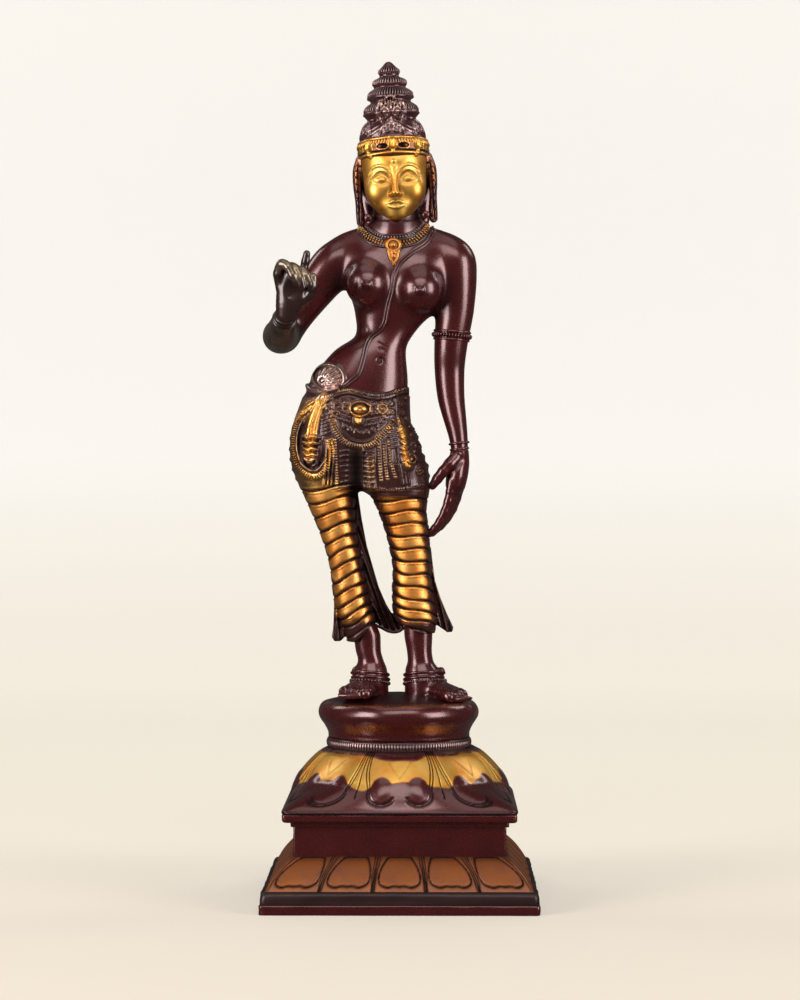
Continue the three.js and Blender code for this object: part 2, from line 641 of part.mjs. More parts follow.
function named(name, manifold, colour, roughness) {
  const material = new THREE.MeshStandardMaterial({ color: colour, roughness, metalness: 0.85 });
  const mesh = new THREE.Mesh(geometryOf(manifold), material);
  mesh.name = name;
  return mesh;
}

const statue = new THREE.Group();
const plinth = named("lotus_plinth", plinthSolid(), 0x5a2018, 0.42);
const figure = named("goddess_figure", figureSolid(), 0x4a1418, 0.34);
figure.position.z = PLINTH_HEIGHT;
statue.add(plinth, figure);

export default statue;
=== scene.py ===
# %% [markdown]
# A standing goddess in cast brass on a lotus plinth.
# The real one is a lost-wax casting: it is modelled in wax, cast, chased with punches and gravers,
# coloured with a deep red-brown patina, and then rubbed bright on the face, the cloth and the dome.
# This lesson follows the same order: first the wax forms, then the chased detail, then the patina.

import json
from math import cos, dist, pi, radians, sin

import bpy
import numpy as np
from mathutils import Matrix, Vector
from mathutils.bvhtree import BVHTree

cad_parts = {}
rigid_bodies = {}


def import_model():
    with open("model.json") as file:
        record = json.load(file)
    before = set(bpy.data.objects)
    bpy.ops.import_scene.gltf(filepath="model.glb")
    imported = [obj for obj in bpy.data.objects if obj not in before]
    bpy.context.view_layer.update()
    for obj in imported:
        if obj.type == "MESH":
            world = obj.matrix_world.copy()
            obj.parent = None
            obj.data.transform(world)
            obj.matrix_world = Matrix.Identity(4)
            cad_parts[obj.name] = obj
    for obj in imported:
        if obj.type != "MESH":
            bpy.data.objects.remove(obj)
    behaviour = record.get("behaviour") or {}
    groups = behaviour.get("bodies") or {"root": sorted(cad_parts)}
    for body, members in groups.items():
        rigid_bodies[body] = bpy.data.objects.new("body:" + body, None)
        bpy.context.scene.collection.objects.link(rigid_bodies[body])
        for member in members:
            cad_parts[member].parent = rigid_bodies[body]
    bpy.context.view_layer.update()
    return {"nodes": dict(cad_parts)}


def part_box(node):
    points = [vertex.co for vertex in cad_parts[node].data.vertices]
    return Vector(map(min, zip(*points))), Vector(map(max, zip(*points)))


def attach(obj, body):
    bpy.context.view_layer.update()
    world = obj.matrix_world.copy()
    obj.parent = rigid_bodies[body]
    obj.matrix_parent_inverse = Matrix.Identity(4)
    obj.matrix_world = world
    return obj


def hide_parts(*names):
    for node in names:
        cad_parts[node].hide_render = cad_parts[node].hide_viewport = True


for leftover in list(bpy.data.objects):
    bpy.data.objects.remove(leftover)
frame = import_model()
PAD_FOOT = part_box("lotus_plinth")[1][2] * 1000

# %% [markdown]
# The camera looks level at the height of the goddess's thighs, 1.6 m away, a hair to the right of the
# middle. A long lens keeps the plinth's sides nearly parallel. Aiming down would make them lean, so a
# small shift of the lens frames the figure instead.

# %% Camera
LENS_PX, PICTURE_PX, SENSOR = 2905, 1000, 36
DISTANCE, EYE_HEIGHT = 1.602, 0.2335
SIDE_STEP = radians(0.6)
LENS_SHIFT = (-0.0008, -0.028)


def new_object(name, data):
    thing = bpy.data.objects.new(name, data)
    bpy.context.scene.collection.objects.link(thing)
    return thing


camera = new_object("camera", bpy.data.cameras.new("camera"))
camera.data.sensor_fit = "VERTICAL"
camera.data.sensor_height = SENSOR
camera.data.lens = SENSOR * LENS_PX / PICTURE_PX
camera.data.shift_x, camera.data.shift_y = LENS_SHIFT
camera.location = (DISTANCE * sin(SIDE_STEP), -DISTANCE * cos(SIDE_STEP), EYE_HEIGHT)
camera.rotation_euler = (radians(90), 0, SIDE_STEP)
bpy.context.scene.camera = camera
print("camera at", tuple(camera.location))

# %% [markdown]
# Materials and many of the small pieces are made of nodes. Adding one, setting it and linking it takes
# three lines each time, so a small class does it in one. An input is given a number or another node's
# output, by its place in the list or by its name.

# %% Short words for nodes
class Nodes:
    def __init__(self, tree):
        self.tree = tree

    def feed(self, node, inputs):
        for key, value in inputs.items() if isinstance(inputs, dict) else enumerate(inputs):
            if isinstance(value, bpy.types.NodeSocket):
                self.tree.links.new(value, node.inputs[key])
            else:
                node.inputs[key].default_value = value
        return node

    def add(self, kind, inputs=(), **settings):
        node = self.tree.nodes.new(kind)
        for name, value in settings.items():
            setattr(node, name, value)
        return self.feed(node, inputs)

    def math(self, operation, *values, clamp=False):
        return self.add("ShaderNodeMath", values, operation=operation, use_clamp=clamp).outputs[0]

    def mix(self, share, first, second, blend="MIX"):
        inputs = {0: share, 6: first, 7: second}
        return self.add("ShaderNodeMix", inputs, data_type="RGBA", blend_type=blend).outputs[2]

    def noise(self, place, scale, detail, rough=0.55):
        inputs = {"Vector": place, "Scale": scale, "Detail": detail, "Roughness": rough}
        outputs = self.add("ShaderNodeTexNoise", inputs).outputs
        return outputs["Factor" if "Factor" in outputs else "Fac"]

    def chain(self, last, *steps):
        """Sends geometry through nodes one after another, each a kind and its inputs."""
        for kind, inputs in steps:
            node = self.add(kind, inputs)
            self.tree.links.new(last, next(s for s in node.inputs if s.type == "GEOMETRY"))
            last = next(s for s in node.outputs if s.type == "GEOMETRY")
        return last


def new_material(name):
    """A material, its nodes and its shader."""
    material = bpy.data.materials.new(name)
    material.use_nodes = True
    return material, Nodes(material.node_tree), material.node_tree.nodes["Principled BSDF"]


def node_group(kind, name, inputs, outputs):
    """A group's nodes, what it is given, and the node that takes its results."""
    nodes = Nodes(bpy.data.node_groups.new(name, kind))
    for way, sockets in (("INPUT", inputs), ("OUTPUT", outputs)):
        for label, socket in sockets.items():
            nodes.tree.interface.new_socket(label, in_out=way, socket_type="NodeSocket" + socket)
    return nodes, nodes.add("NodeGroupInput").outputs, nodes.add("NodeGroupOutput")


# %% [markdown]
# The studio is a pale floor and a pale backdrop in one curved sheet, as product photographs use.
# Polished metal shows its surroundings more than its colour, so the room matters: two tall windows of
# soft light stand left and right of the camera, and the air between them is dark. Each limb then shows
# two pale stripes with a dark one between, which is what makes it read as metal. The paper lights the
# figure but is kept out of its reflections, or every edge would turn pale.

# %% Studio
# Distance behind the figure in metres, and how much more or less than usual the paper glows there.
# The glow is painted light: the paper gives off light of its own, more behind the figure, less far back.
PAPER_GLOW = [(-0.1, 0), (0.24, 0.66), (0.75, 0.84), (1.3, 0.9), (1.5, 0.5), (1.8, 0.04), (2, -0.28)]
GLOW_FROM, GLOW_TO = -0.5, 2.5
USUAL_GLOW, MORE_GLOW = np.array((0.31, 0.304, 0.2945)), np.array((0.145, 0.155, 0.135))
# The floor is given a darker, warmer colour than the wall: painted shade on the floor.
SHADED_FLOOR_TONE, WALL_TONE = (0.50, 0.43, 0.333, 1), (0.655, 0.645, 0.62, 1)
HALF_WIDTH, FRONT, BACK, WALL_HEIGHT, BEND = 4.5, -3.5, 2, 3.6, 0.9
# name, place, aim, size, watts, colour
LAMPS = [
    ("left_window", (-1.25, -0.95, 0.5), (0, 0, 0.3), (0.75, 1), 24, (1, 0.98, 0.97)),
    ("right_window", (1.3, -0.85, 0.5), (0, 0, 0.3), (0.7, 1), 17.5, (1, 0.98, 0.97)),
    ("top_softbox", (0, -0.3, 1.9), (0, 0, 0.2), (1.5, 1.1), 5, (1, 0.97, 0.93)),
    ("front_card", (0.1, -1.6, 1.6), (0, 0, 0.25), (1.7, 0.8), 16, (1, 0.98, 0.95)),
    ("backdrop_left", (-1.5, 0.9, 1.5), (-0.3, 2, 0.4), (0.8, 0.8), 9, (1, 0.97, 0.92)),
    ("backdrop_right", (1.5, 0.9, 1.5), (0.3, 2, 0.4), (0.8, 0.8), 9, (1, 0.97, 0.92)),
]


def new_mesh(name, points, faces):
    """A smooth mesh from corners, and from faces that each list the numbers of their corners."""
    mesh = bpy.data.meshes.new(name)
    corners, sizes = np.concatenate(faces), [len(face) for face in faces]
    mesh.vertices.add(len(points))
    mesh.vertices.foreach_set("co", np.ravel(points))
    mesh.loops.add(len(corners))
    mesh.loops.foreach_set("vertex_index", corners)
    mesh.polygons.add(len(faces))
    mesh.polygons.foreach_set("loop_start", np.cumsum([0] + sizes[:-1]))
    mesh.polygons.foreach_set("use_smooth", np.ones(len(faces), bool))
    mesh.update(calc_edges=True)
    return new_object(name, mesh)


def studio_paper():
    paper, n, shader = new_material("studio_paper")
    place = n.add("ShaderNodeSeparateXYZ", [n.add("ShaderNodeTexCoord").outputs["Object"]]).outputs
    tone = n.mix(n.math("MULTIPLY", place["Z"], 4, clamp=True), SHADED_FLOOR_TONE, WALL_TONE)
    span = {"Value": place["Y"], "From Min": GLOW_FROM, "From Max": GLOW_TO}
    glow = n.add("ShaderNodeValToRGB", [n.add("ShaderNodeMapRange", span).outputs["Result"]])
    stops = glow.color_ramp.elements
    while len(stops) < len(PAPER_GLOW):
        stops.new(0.5)
    for stop, (y, share) in zip(stops, PAPER_GLOW):
        stop.position = (y - GLOW_FROM) / (GLOW_TO - GLOW_FROM)
        stop.color = (*(USUAL_GLOW + MORE_GLOW * share), 1)
    n.feed(shader, {"Base Color": tone, "Roughness": 0.9, "Specular IOR Level": 0.1})
    # Painted light: the paper glows by the table of distances above.
    n.feed(shader, {"Emission Color": glow.outputs["Color"], "Emission Strength": 1})
    return paper


def studio_sweep():
    profile = [(FRONT, 0), (BACK - BEND, 0)]
    for i in range(1, 13):
        a = i / 12 * pi / 2
        profile.append((BACK - BEND + BEND * sin(a), BEND - BEND * cos(a)))
    profile.append((BACK, WALL_HEIGHT))
    points = [(side * HALF_WIDTH, y, z) for y, z in profile for side in (-1, 1)]
    faces = [(2 * i, 2 * i + 1, 2 * i + 3, 2 * i + 2) for i in range(len(profile) - 1)]
    sweep = new_mesh("studio_sweep", points, faces)
    sweep.data.materials.append(studio_paper())
    sweep.visible_glossy = False


def soft_lamp(name, place, aim, size, watts, colour):
    lamp = bpy.data.lights.new(name, "AREA")
    lamp.shape = "RECTANGLE"
    lamp.size, lamp.size_y = size
    lamp.energy = watts
    lamp.color = colour
    thing = new_object(name, lamp)
    thing.location = place
    thing.rotation_euler = (Vector(aim) - Vector(place)).to_track_quat("-Z", "Y").to_euler()
    thing.visible_camera = False


studio_sweep()
world = bpy.data.worlds.new("studio_air")
world.use_nodes = True
Nodes(world.node_tree).feed(world.node_tree.nodes["Background"], [(1, 0.96, 0.92, 1), 0.065])
bpy.context.scene.world = world
bpy.context.scene.view_settings.view_transform = "Standard"
for lamp_row in LAMPS:
    soft_lamp(*lamp_row)
print("lamps", len(LAMPS))

# %% [markdown]
# The finish. The real figure is bare brass under a thin red-brown patina that was rubbed off the high
# places, with dark wax left in the hollows. It could be painted on as a picture, but a rule is better:
# each carved piece carries two numbers on its corners, how much it is rubbed and how deep it lies, and
# one node group turns those into a colour and a roughness for every material of the figure. In some
# places the first number also carries painted highlights and the second painted shade, each noted
# where it is set, so the dark wax colour stands for painted shade as well.

# %% A node group that lays patina over brass
PATINA_INPUTS = {
    "Place": "Vector", "Patina": "Color", "Thin Patina": "Color", "Brass": "Color", "Dark Wax": "Color",
    "Rubbed": "Float", "Hollow": "Float", "Patina Metal": "Float", "Patina Roughness": "Float",
    "Brass Roughness": "Float", "Gloss": "Float",
}
PATINA_RESULTS = {"Colour": "Color", "Roughness": "Float", "Metallic": "Float", "Coat": "Float"}
COPPER_CAST = (0.92, 0.6, 0.3, 1)


def patina_group():
    n, given, result = node_group("ShaderNodeTree", "patina_over_brass", PATINA_INPUTS, PATINA_RESULTS)
    clouds = n.noise(given["Place"], 60, 4)
    specks = n.noise(given["Place"], 800, 3, 0.65)
    uneven = n.math("MULTIPLY_ADD", specks, 0.32, n.math("MULTIPLY_ADD", clouds, 0.6, -0.49))
    edge = n.math("MULTIPLY_ADD", given["Rubbed"], 1.5, uneven)
    # The patina thins from an edge of 0.12 on, and bare brass shows from 0.52 on.
    thin = n.math("MULTIPLY", n.math("SUBTRACT", edge, 0.12), 2.6, clamp=True)
    bare = n.math("MULTIPLY", n.math("SUBTRACT", edge, 0.52), 2, clamp=True)
    colour = n.mix(1, given["Patina"], n.math("MULTIPLY_ADD", clouds, 0.9, 0.55), "MULTIPLY")
    colour = n.mix(thin, colour, given["Thin Patina"])
    amber = n.math("MULTIPLY", n.math("SUBTRACT", n.noise(given["Place"], 90, 3), 0.40), 3.2, clamp=True)
    warm = n.mix(1, given["Brass"], COPPER_CAST, "MULTIPLY")
    colour = n.mix(bare, colour, n.mix(amber, given["Brass"], warm))
    hollow = n.math("ADD", given["Hollow"], n.math("MULTIPLY_ADD", specks, 0.4, -0.2))
    hollow = n.math("MULTIPLY", hollow, n.math("GREATER_THAN", given["Hollow"], 0.02), clamp=True)
    metal = n.math("MULTIPLY_ADD", n.math("SUBTRACT", 1, given["Patina Metal"]), thin, given["Patina Metal"])
    metal = n.math("MULTIPLY_ADD", hollow, n.math("SUBTRACT", 0.9, metal), metal)
    rough = n.add("ShaderNodeMix", {0: bare, 2: given["Patina Roughness"], 3: given["Brass Roughness"]})
    dull = n.math("MULTIPLY_ADD", hollow, 0.35, rough.outputs[0])
    dull = n.math("MULTIPLY_ADD", specks, 0.12, n.math("SUBTRACT", dull, 0.06))
    open_share = n.math("SUBTRACT", 1, hollow)
    open_share = n.math("MULTIPLY", open_share, n.math("MULTIPLY_ADD", bare, -0.6, 1))
    coat = n.math("MULTIPLY", open_share, given["Gloss"])
    n.feed(result, {"Colour": n.mix(hollow, colour, given["Dark Wax"]), "Roughness": dull})
    n.feed(result, {"Metallic": metal, "Coat": coat})
    return n.tree


def hand_group():
    """The unevenness that files, burnishers and casting leave: soft dents and fine upright scratches."""
    n, given, result = node_group("ShaderNodeTree", "hand_finish", {"Place": "Vector"}, {"Height": "Float"})
    dents = n.math("MULTIPLY", n.noise(given["Place"], 160, 2), 0.16)
    stretch = n.add("ShaderNodeVectorMath", [given["Place"], (1, 1, 0.12)], operation="MULTIPLY")
    scratches = n.math("MULTIPLY", n.noise(stretch.outputs[0], 2600, 2), 0.3)
    n.feed(result, [n.math("MULTIPLY_ADD", scratches, 0.08, dents)])
    return n.tree


PATINA = patina_group()
HAND = hand_group()
print("node groups", PATINA.name, HAND.name)

# %% [markdown]
# Seven finishes are made from the same two groups. Red-brown over brass gives the body, brown-black the
# belt and hands, and a thin warm brown the petals of the skirt. Patina is half metal and half lacquer,
# so it keeps some colour where nothing bright is reflected, and a clear coat adds the pale gloss on top.

# %% The finishes
# name, patina, thin patina, dark wax and painted shade, roughness of patina and of brass, coat, brass, share
# of metal
FINISHES = [
    ("oxblood_patina", (0.068, 0.0062, 0.007), (0.40, 0.13, 0.03), (0.009, 0.0035, 0.0035),
     0.28, 0.42, 0.85, (0.84, 0.48, 0.10), 0.5),
    ("dark_bronze", (0.032, 0.013, 0.011), (0.34, 0.25, 0.16), (0.007, 0.004, 0.0035),
     0.3, 0.34, 0.75, (0.74, 0.60, 0.36), 0.5),
    ("rubbed_brass", (0.055, 0.014, 0.011), (0.48, 0.16, 0.03), (0.010, 0.004, 0.003),
     0.32, 0.5, 0.5, (0.94, 0.45, 0.115), 0.5),
    ("chased_brass", (0.050, 0.014, 0.011), (0.30, 0.155, 0.07), (0.008, 0.004, 0.003),
     0.32, 0.42, 0.55, (0.82, 0.44, 0.12), 0.5),
    # Worn bronze: besides its wear, its pale thin patina paints pink glints on the crown rims, the carved
    # boss, the ring's flutes and the fine beads.
    ("worn_bronze_and_glints", (0.060, 0.011, 0.012), (0.42, 0.26, 0.24), (0.007, 0.0035, 0.0035),
     0.3, 0.36, 0.85, (0.66, 0.50, 0.40), 0.5),
    ("amber_lacquer", (0.168, 0.039, 0.004), (0.27, 0.080, 0.010), (0.014, 0.006, 0.004),
     0.42, 0.42, 0.16, (0.94, 0.45, 0.115), 0.3),
    ("black_patina", (0.020, 0.006, 0.005), (0.2, 0.1, 0.08), (0.006, 0.004, 0.004),
     0.45, 0.4, 0.1, (0.94, 0.45, 0.115), 0.3),
]


def finish_of(name, patina, thin, wax, dull, polish, coat, brass, metal):
    material, n, shader = new_material(name)
    where = n.add("ShaderNodeTexCoord").outputs["Object"]
    layers = n.add("ShaderNodeGroup", node_tree=PATINA)
    colours = {"Patina": patina, "Thin Patina": thin, "Brass": brass, "Dark Wax": wax}
    n.feed(layers, {label: (*colour, 1) for label, colour in colours.items()})
    n.feed(layers, {"Place": where, "Patina Metal": metal, "Gloss": coat})
    n.feed(layers, {"Patina Roughness": dull, "Brass Roughness": polish})
    for label in ("Rubbed", "Hollow"):
        n.feed(layers, {label: n.add("ShaderNodeAttribute", attribute_name=label.lower()).outputs["Fac"]})
    marks = n.add("ShaderNodeGroup", node_tree=HAND)
    n.feed(marks, [where])
    bump = n.add("ShaderNodeBump", {"Strength": 0.5, "Distance": 0.0004, "Height": marks.outputs[0]})
    results = layers.outputs
    n.feed(shader, {"Base Color": results["Colour"], "Roughness": results["Roughness"]})
    n.feed(shader, {"Metallic": results["Metallic"], "Coat Weight": results["Coat"]})
    n.feed(shader, {"Coat Roughness": 0.2, "Normal": bump.outputs["Normal"]})
    return material


OXBLOOD, BRONZE, GILT, CHASED, WORN_AND_GLINT, AMBER, BLACK = [finish_of(*row) for row in FINISHES]
print("finishes", [row[0] for row in FINISHES])

# %% [markdown]
# The wax. A modeller builds a body from soft masses that run into one another. In Blender that could
# be sculpting, metaballs or a voxel remesh of overlapping shapes. Here each mass is a distance formula
# on a grid of small cubes: joining two is then only taking the nearer one, with a soft seam as wide as
# wanted, and chasing a line is adding a small number along it. At the end the zero surface becomes a mesh.

# %% Ramps, hills, and a table of level sections read at any height
def ramp(low, high, value):
    t = np.clip((value - low) / (high - low), 0, 1)
    return t * t * (3 - 2 * t)


def hill(value, width):
    return np.exp(-((value / width) ** 2))


def soft_join(old, new, blend):
    """The nearer of two masses, with a seam as wide as blend."""
    near = np.minimum(old, new)
    if np.any(blend):
        near = near - np.maximum(blend - np.abs(old - new), 0) ** 2 / (4 * blend)
    return near


def read_rows(rows, z):
    table = np.array(rows, float)
    table = table[np.argsort(table[:, 0])]
    steps = np.diff(table[:, 0])
    slopes = np.diff(table[:, 1:], axis=0) / steps[:, None]
    tangents = np.zeros_like(table[:, 1:])
    tangents[0], tangents[-1] = slopes[0], slopes[-1]
    below, above = slopes[:-1], slopes[1:]
    both = np.where(below * above > 0, below * above, 0)
    tangents[1:-1] = 2 * both / np.where(np.abs(below + above) > 1e-9, below + above, 1)
    z = np.clip(np.asarray(z, float), table[0, 0], table[-1, 0])
    k = np.clip(np.searchsorted(table[:, 0], z, side="right") - 1, 0, len(steps) - 1)
    t = ((z - table[k, 0]) / steps[k])[..., None]
    span = steps[k][..., None]
    return (
        (2 * t**3 - 3 * t**2 + 1) * table[k, 1:]
        + (t**3 - 2 * t**2 + t) * span * tangents[k]
        + (3 * t**2 - 2 * t**3) * table[k + 1, 1:]
        + (t**3 - t**2) * span * tangents[k + 1]
    )


# %% The block of wax: a grid of distances in millimetres, height measured from the pad's underside
class Wax:
    def __init__(self, low, high, step):
        self.step = np.broadcast_to(np.array(step, float), 3).copy()
        self.low = np.array(low, np.float32)
        self.axes = [np.arange(a, b + s, s, dtype=np.float32) for a, b, s in zip(low, high, self.step)]
        self.far = np.full([len(axis) for axis in self.axes], 20, np.float32)

    def spots(self, cuts=(slice(None),) * 3):
        x, y, z = [axis[cut] for axis, cut in zip(self.axes, cuts)]
        return x[:, None, None], y[None, :, None], z[None, None, :]

    def window(self, low, high):
        ends = [np.searchsorted(axis, [a, b]) for axis, a, b in zip(self.axes, low, high)]
        cuts = tuple(slice(max(i - 1, 0), min(j + 1, len(a))) for (i, j), a in zip(ends, self.axes))
        return cuts, self.spots(cuts)

    def join(self, shape, blend=0):
        cuts, new = shape(self)
        self.far[cuts] = soft_join(self.far[cuts], new, blend)

    def cut(self, shape, blend=0):
        cuts, new = shape(self)
        self.far[cuts] = -soft_join(-self.far[cuts], new, blend)

    def raise_by(self, amount):
        self.far -= amount.astype(np.float32)

    def soften(self, rounds):
        """Strokes the wax with a thumb: each cube takes a share of its neighbours."""
        for axis in [0, 1, 2] * rounds:
            d = np.moveaxis(self.far, axis, 0)
            d[1:-1] = (d[:-2] + 2 * d[1:-1] + d[2:]) / 4


# %% Shapes to press into the wax
MARGIN = 7


def oval(places, radii):
    """About how far each place lies from an oval of these radii."""
    (x, y, z), (a, b, c) = places, radii
    k0 = np.sqrt((x / a) ** 2 + (y / b) ** 2 + (z / c) ** 2)
    k1 = np.sqrt((x / a**2) ** 2 + (y / b**2) ** 2 + (z / c**2) ** 2)
    return (k0 * (k0 - 1) / np.maximum(k1, 1e-6)).astype(np.float32)


def egg(centre, radii, turn=0):
    """An oval mass. turn is in degrees about the front-to-back axis."""
    reach = max(radii) + MARGIN

    def shape(wax):
        cuts, (x, y, z) = wax.window([c - reach for c in centre], [c + reach for c in centre])
        x, y, z = x - centre[0], y - centre[1], z - centre[2]
        if turn:
            c, s = cos(radians(turn)), sin(radians(turn))
            x, z = x * c + z * s, z * c - x * s
        return cuts, oval((x, y, z), radii)

    return shape


def upright(rows, low=-999, power=2.25, swell=0):
    """A standing mass from rows of height, left, right, front and back."""
    table = np.array(rows, float)
    low_end, high_end = max(low, table[:, 0].min()), table[:, 0].max()
    near = [table[:, 1].min() - MARGIN, table[:, 3].min() - MARGIN, low_end - MARGIN]
    top = [table[:, 2].max() + MARGIN, table[:, 4].max() + MARGIN, high_end + MARGIN]

    def shape(wax):
        cuts, (x, y, z) = wax.window(near, top)
        left, right, front, back = read_rows(rows, z.ravel()).T.astype(np.float32)
        x = x - (left + right) / 2
        y = y - (front + back) / 2
        across = (np.abs(x) / ((right - left) / 2 + swell)) ** power
        deep = (np.abs(y) / ((back - front) / 2 + swell)) ** power
        size = np.maximum((across + deep) ** (1 / power), 1e-4)
        radius = np.sqrt(x**2 + y**2)
        side = radius - radius / size
        slope = np.sqrt(1 + np.clip(np.gradient(side, wax.step[2], axis=2), -3, 3) ** 2)
        side = side / slope
        return cuts, np.maximum(side, np.maximum(low_end - z, z - high_end)).astype(np.float32)

    return shape


def smooth_path(stations, steps):
    """Stations of any columns, joined by a smooth line through all of them."""
    s = np.array(stations, float)
    s = np.vstack([2 * s[0] - s[1], s, 2 * s[-1] - s[-2]])
    out = []
    for a, b, c, d in zip(s, s[1:], s[2:], s[3:]):
        square, cube = 2 * a - 5 * b + 4 * c - d, 3 * b - a - 3 * c + d
        for t in np.arange(steps) / steps:
            out.append(0.5 * (2 * b + (c - a) * t + square * t**2 + cube * t**3))
    return np.array(out + [s[-2]])


def limb(stations, facing=(0, 1, 0), steps=3):
    """A limb through stations of x, y, z and radius, or x, y, z, half width and half depth."""
    path = smooth_path([row if len(row) == 5 else [*row, row[3]] for row in stations], steps)
    facing = np.array(facing, float)

    def stretch(wax, a, b):
        """The straight piece from one station to the next."""
        r = max(a[3], a[4], b[3], b[4]) + MARGIN
        part, (x, y, z) = wax.window(np.minimum(a[:3], b[:3]) - r, np.maximum(a[:3], b[:3]) + r)
        along = b[:3] - a[:3]
        length = max(np.linalg.norm(along), 1e-6)
        along = along / length
        across = np.cross(along, facing)
        across /= max(np.linalg.norm(across), 1e-6)
        deep = np.cross(across, along)
        x, y, z = x - a[0], y - a[1], z - a[2]
        run, u, v = [x * way[0] + y * way[1] + z * way[2] for way in (along, across, deep)]
        t = np.clip(run / length, 0, 1)
        wide, thick = a[3] + (b[3] - a[3]) * t, a[4] + (b[4] - a[4]) * t
        return part, oval((u, v, run - t * length), (wide, thick, np.minimum(wide, thick)))

    def shape(wax):
        reach = path[:, 3:].max(axis=1) + MARGIN + 3 * wax.step.max()
        low = (path[:, :3] - reach[:, None]).min(axis=0)
        high = (path[:, :3] + reach[:, None]).max(axis=0)
        cuts = wax.window(low, high)[0]
        near = np.full([c.stop - c.start for c in cuts], 20, np.float32)
        for a, b in zip(path, path[1:]):
            part, far = stretch(wax, a, b)
            place = tuple(slice(p.start - c.start, p.stop - c.start) for p, c in zip(part, cuts))
            if far.size:
                near[place] = np.minimum(near[place], far)
        return cuts, near

    return shape


# %% From the wax to a mesh: one corner for each small cube that the surface crosses
CORNERS = np.array([(i, j, k) for i in (0, 1) for j in (0, 1) for k in (0, 1)])
EDGES = [(a, b) for a in range(8) for b in range(a + 1, 8) if np.abs(CORNERS[a] - CORNERS[b]).sum() == 1]


def sample(grid, wax, points):
    """The grid's value at any points, blended between its eight neighbours."""
    p = (points - wax.low) / wax.step
    base = np.clip(np.floor(p).astype(int), 0, np.array(grid.shape) - 2)
    t = p - base
    total = 0
    for corner in CORNERS:
        weight = np.prod(np.where(corner, t, 1 - t), axis=1)
        total = total + weight * grid[tuple((base + corner).T)]
    return total


def skin_points(wax):
    d = wax.far
    solid = d < 0
    count = np.zeros([n - 1 for n in d.shape], np.uint8)
    for corner in CORNERS:
        count += solid[tuple(slice(i, i + n) for i, n in zip(corner, count.shape))]
    cells = np.argwhere((count > 0) & (count < 8))
    number = np.full(count.shape, -1, np.int64)
    number[tuple(cells.T)] = np.arange(len(cells))
    values = np.stack([d[tuple((cells + c).T)] for c in CORNERS])
    total = np.zeros((len(cells), 3))
    hits = np.zeros(len(cells))
    for a, b in EDGES:
        crossed = (values[a] < 0) != (values[b] < 0)
        t = np.where(crossed, values[a] / np.where(crossed, values[a] - values[b], 1), 0)
        total += np.where(crossed[:, None], CORNERS[a] + t[:, None] * (CORNERS[b] - CORNERS[a]), 0)
        hits += crossed
    points = (cells + total / hits[:, None]) * wax.step + wax.low
    quads = []
    ways = np.eye(3, dtype=int)
    for axis in range(3):
        one, u, v = ways[axis], ways[(axis + 1) % 3], ways[(axis + 2) % 3]
        inner = [slice(1, n - 1) for n in d.shape]
        trimmed, shifted = list(inner), list(inner)
        trimmed[axis], shifted[axis] = slice(0, -1), slice(1, None)
        start, end = solid[tuple(trimmed)], solid[tuple(shifted)]
        for inward, hit in ((False, start & ~end), (True, ~start & end)):
            at = np.argwhere(hit) + (1 - one)
            ring = [number[tuple((at - s * u - t * v).T)] for s, t in ((0, 0), (1, 0), (1, 1), (0, 1))]
            quads.append(np.stack(ring[::-1] if inward else ring, axis=1))
    return points, np.concatenate(quads)


def slopes_at(slopes, wax, points):
    return np.stack([sample(slope, wax, points) for slope in slopes], axis=1)


def settle(wax, slopes, points, rounds=2):
    """Moves the corners onto the true zero surface, so that polished metal shows no steps."""
    for _ in range(rounds):
        d = sample(wax.far, wax, points)
        g = slopes_at(slopes, wax, points)
        points = points - g * (d / np.maximum((g**2).sum(axis=1), 0.05))[:, None]
    return points


def depth_and_height(wax, slopes, points, reach):
    """Compares the wax a little outside and inside each corner with what a flat surface would give."""
    g = slopes_at(slopes, wax, points)
    g /= np.maximum(np.linalg.norm(g, axis=1), 1e-6)[:, None]
    outside = sample(wax.far, wax, points + g * reach)
    inside = sample(wax.far, wax, points - g * reach)
    return np.clip(1 - outside / reach, 0, 1), np.clip(1 + inside / reach, 0, 1)


def to_metres(points):
    return (np.asarray(points) + (0, 0, PAD_FOOT)) * 0.001


# %% Corners that carry how deep they lie and how much they were rubbed, with painted shade and highlights in places
def carry(thing, name, values):
    layer = thing.data.attributes.get(name) or thing.data.attributes.new(name, "FLOAT", "POINT")
    layer.data.foreach_set("value", np.clip(values, 0, 1).astype(np.float32))


def corners_of(thing):
    flat = np.zeros(len(thing.data.vertices) * 3, np.float32)
    thing.data.vertices.foreach_get("co", flat)
    return flat.reshape(-1, 3)


def faces_of(thing):
    """The four corners of each face, as numbers in the list of corners."""
    ring = np.zeros(len(thing.data.polygons) * 4, np.int32)
    thing.data.loops.foreach_get("vertex_index", ring)
    return ring.reshape(-1, 4)


def second_finish(thing, finish, chosen):
    """Gives the faces for which chosen is true another finish."""
    thing.data.materials.append(finish)
    thing.data.polygons.foreach_set("material_index", chosen.astype(np.int32))


def cast(name, wax, finish, reach=1.4):
    points, quads = skin_points(wax)
    slopes = np.gradient(wax.far, *wax.step)
    points = settle(wax, slopes, points)
    hollow, raised = depth_and_height(wax, slopes, points, reach)
    thing = new_mesh(name, to_metres(points), quads)
    thing.data.materials.append(finish)
    carry(thing, "hollow", hollow)
    carry(thing, "rubbed", np.zeros(len(points)))
    print(name, "triangles", 2 * len(quads))
    return thing, points, hollow, raised

# %% [markdown]
# Chasing is drawing with punches. The same is done here on a flat sheet of numbers: ridges, grooves,
# rings, dots and rows of ribs are drawn in millimetres, and the sheet is then pressed onto the wax.

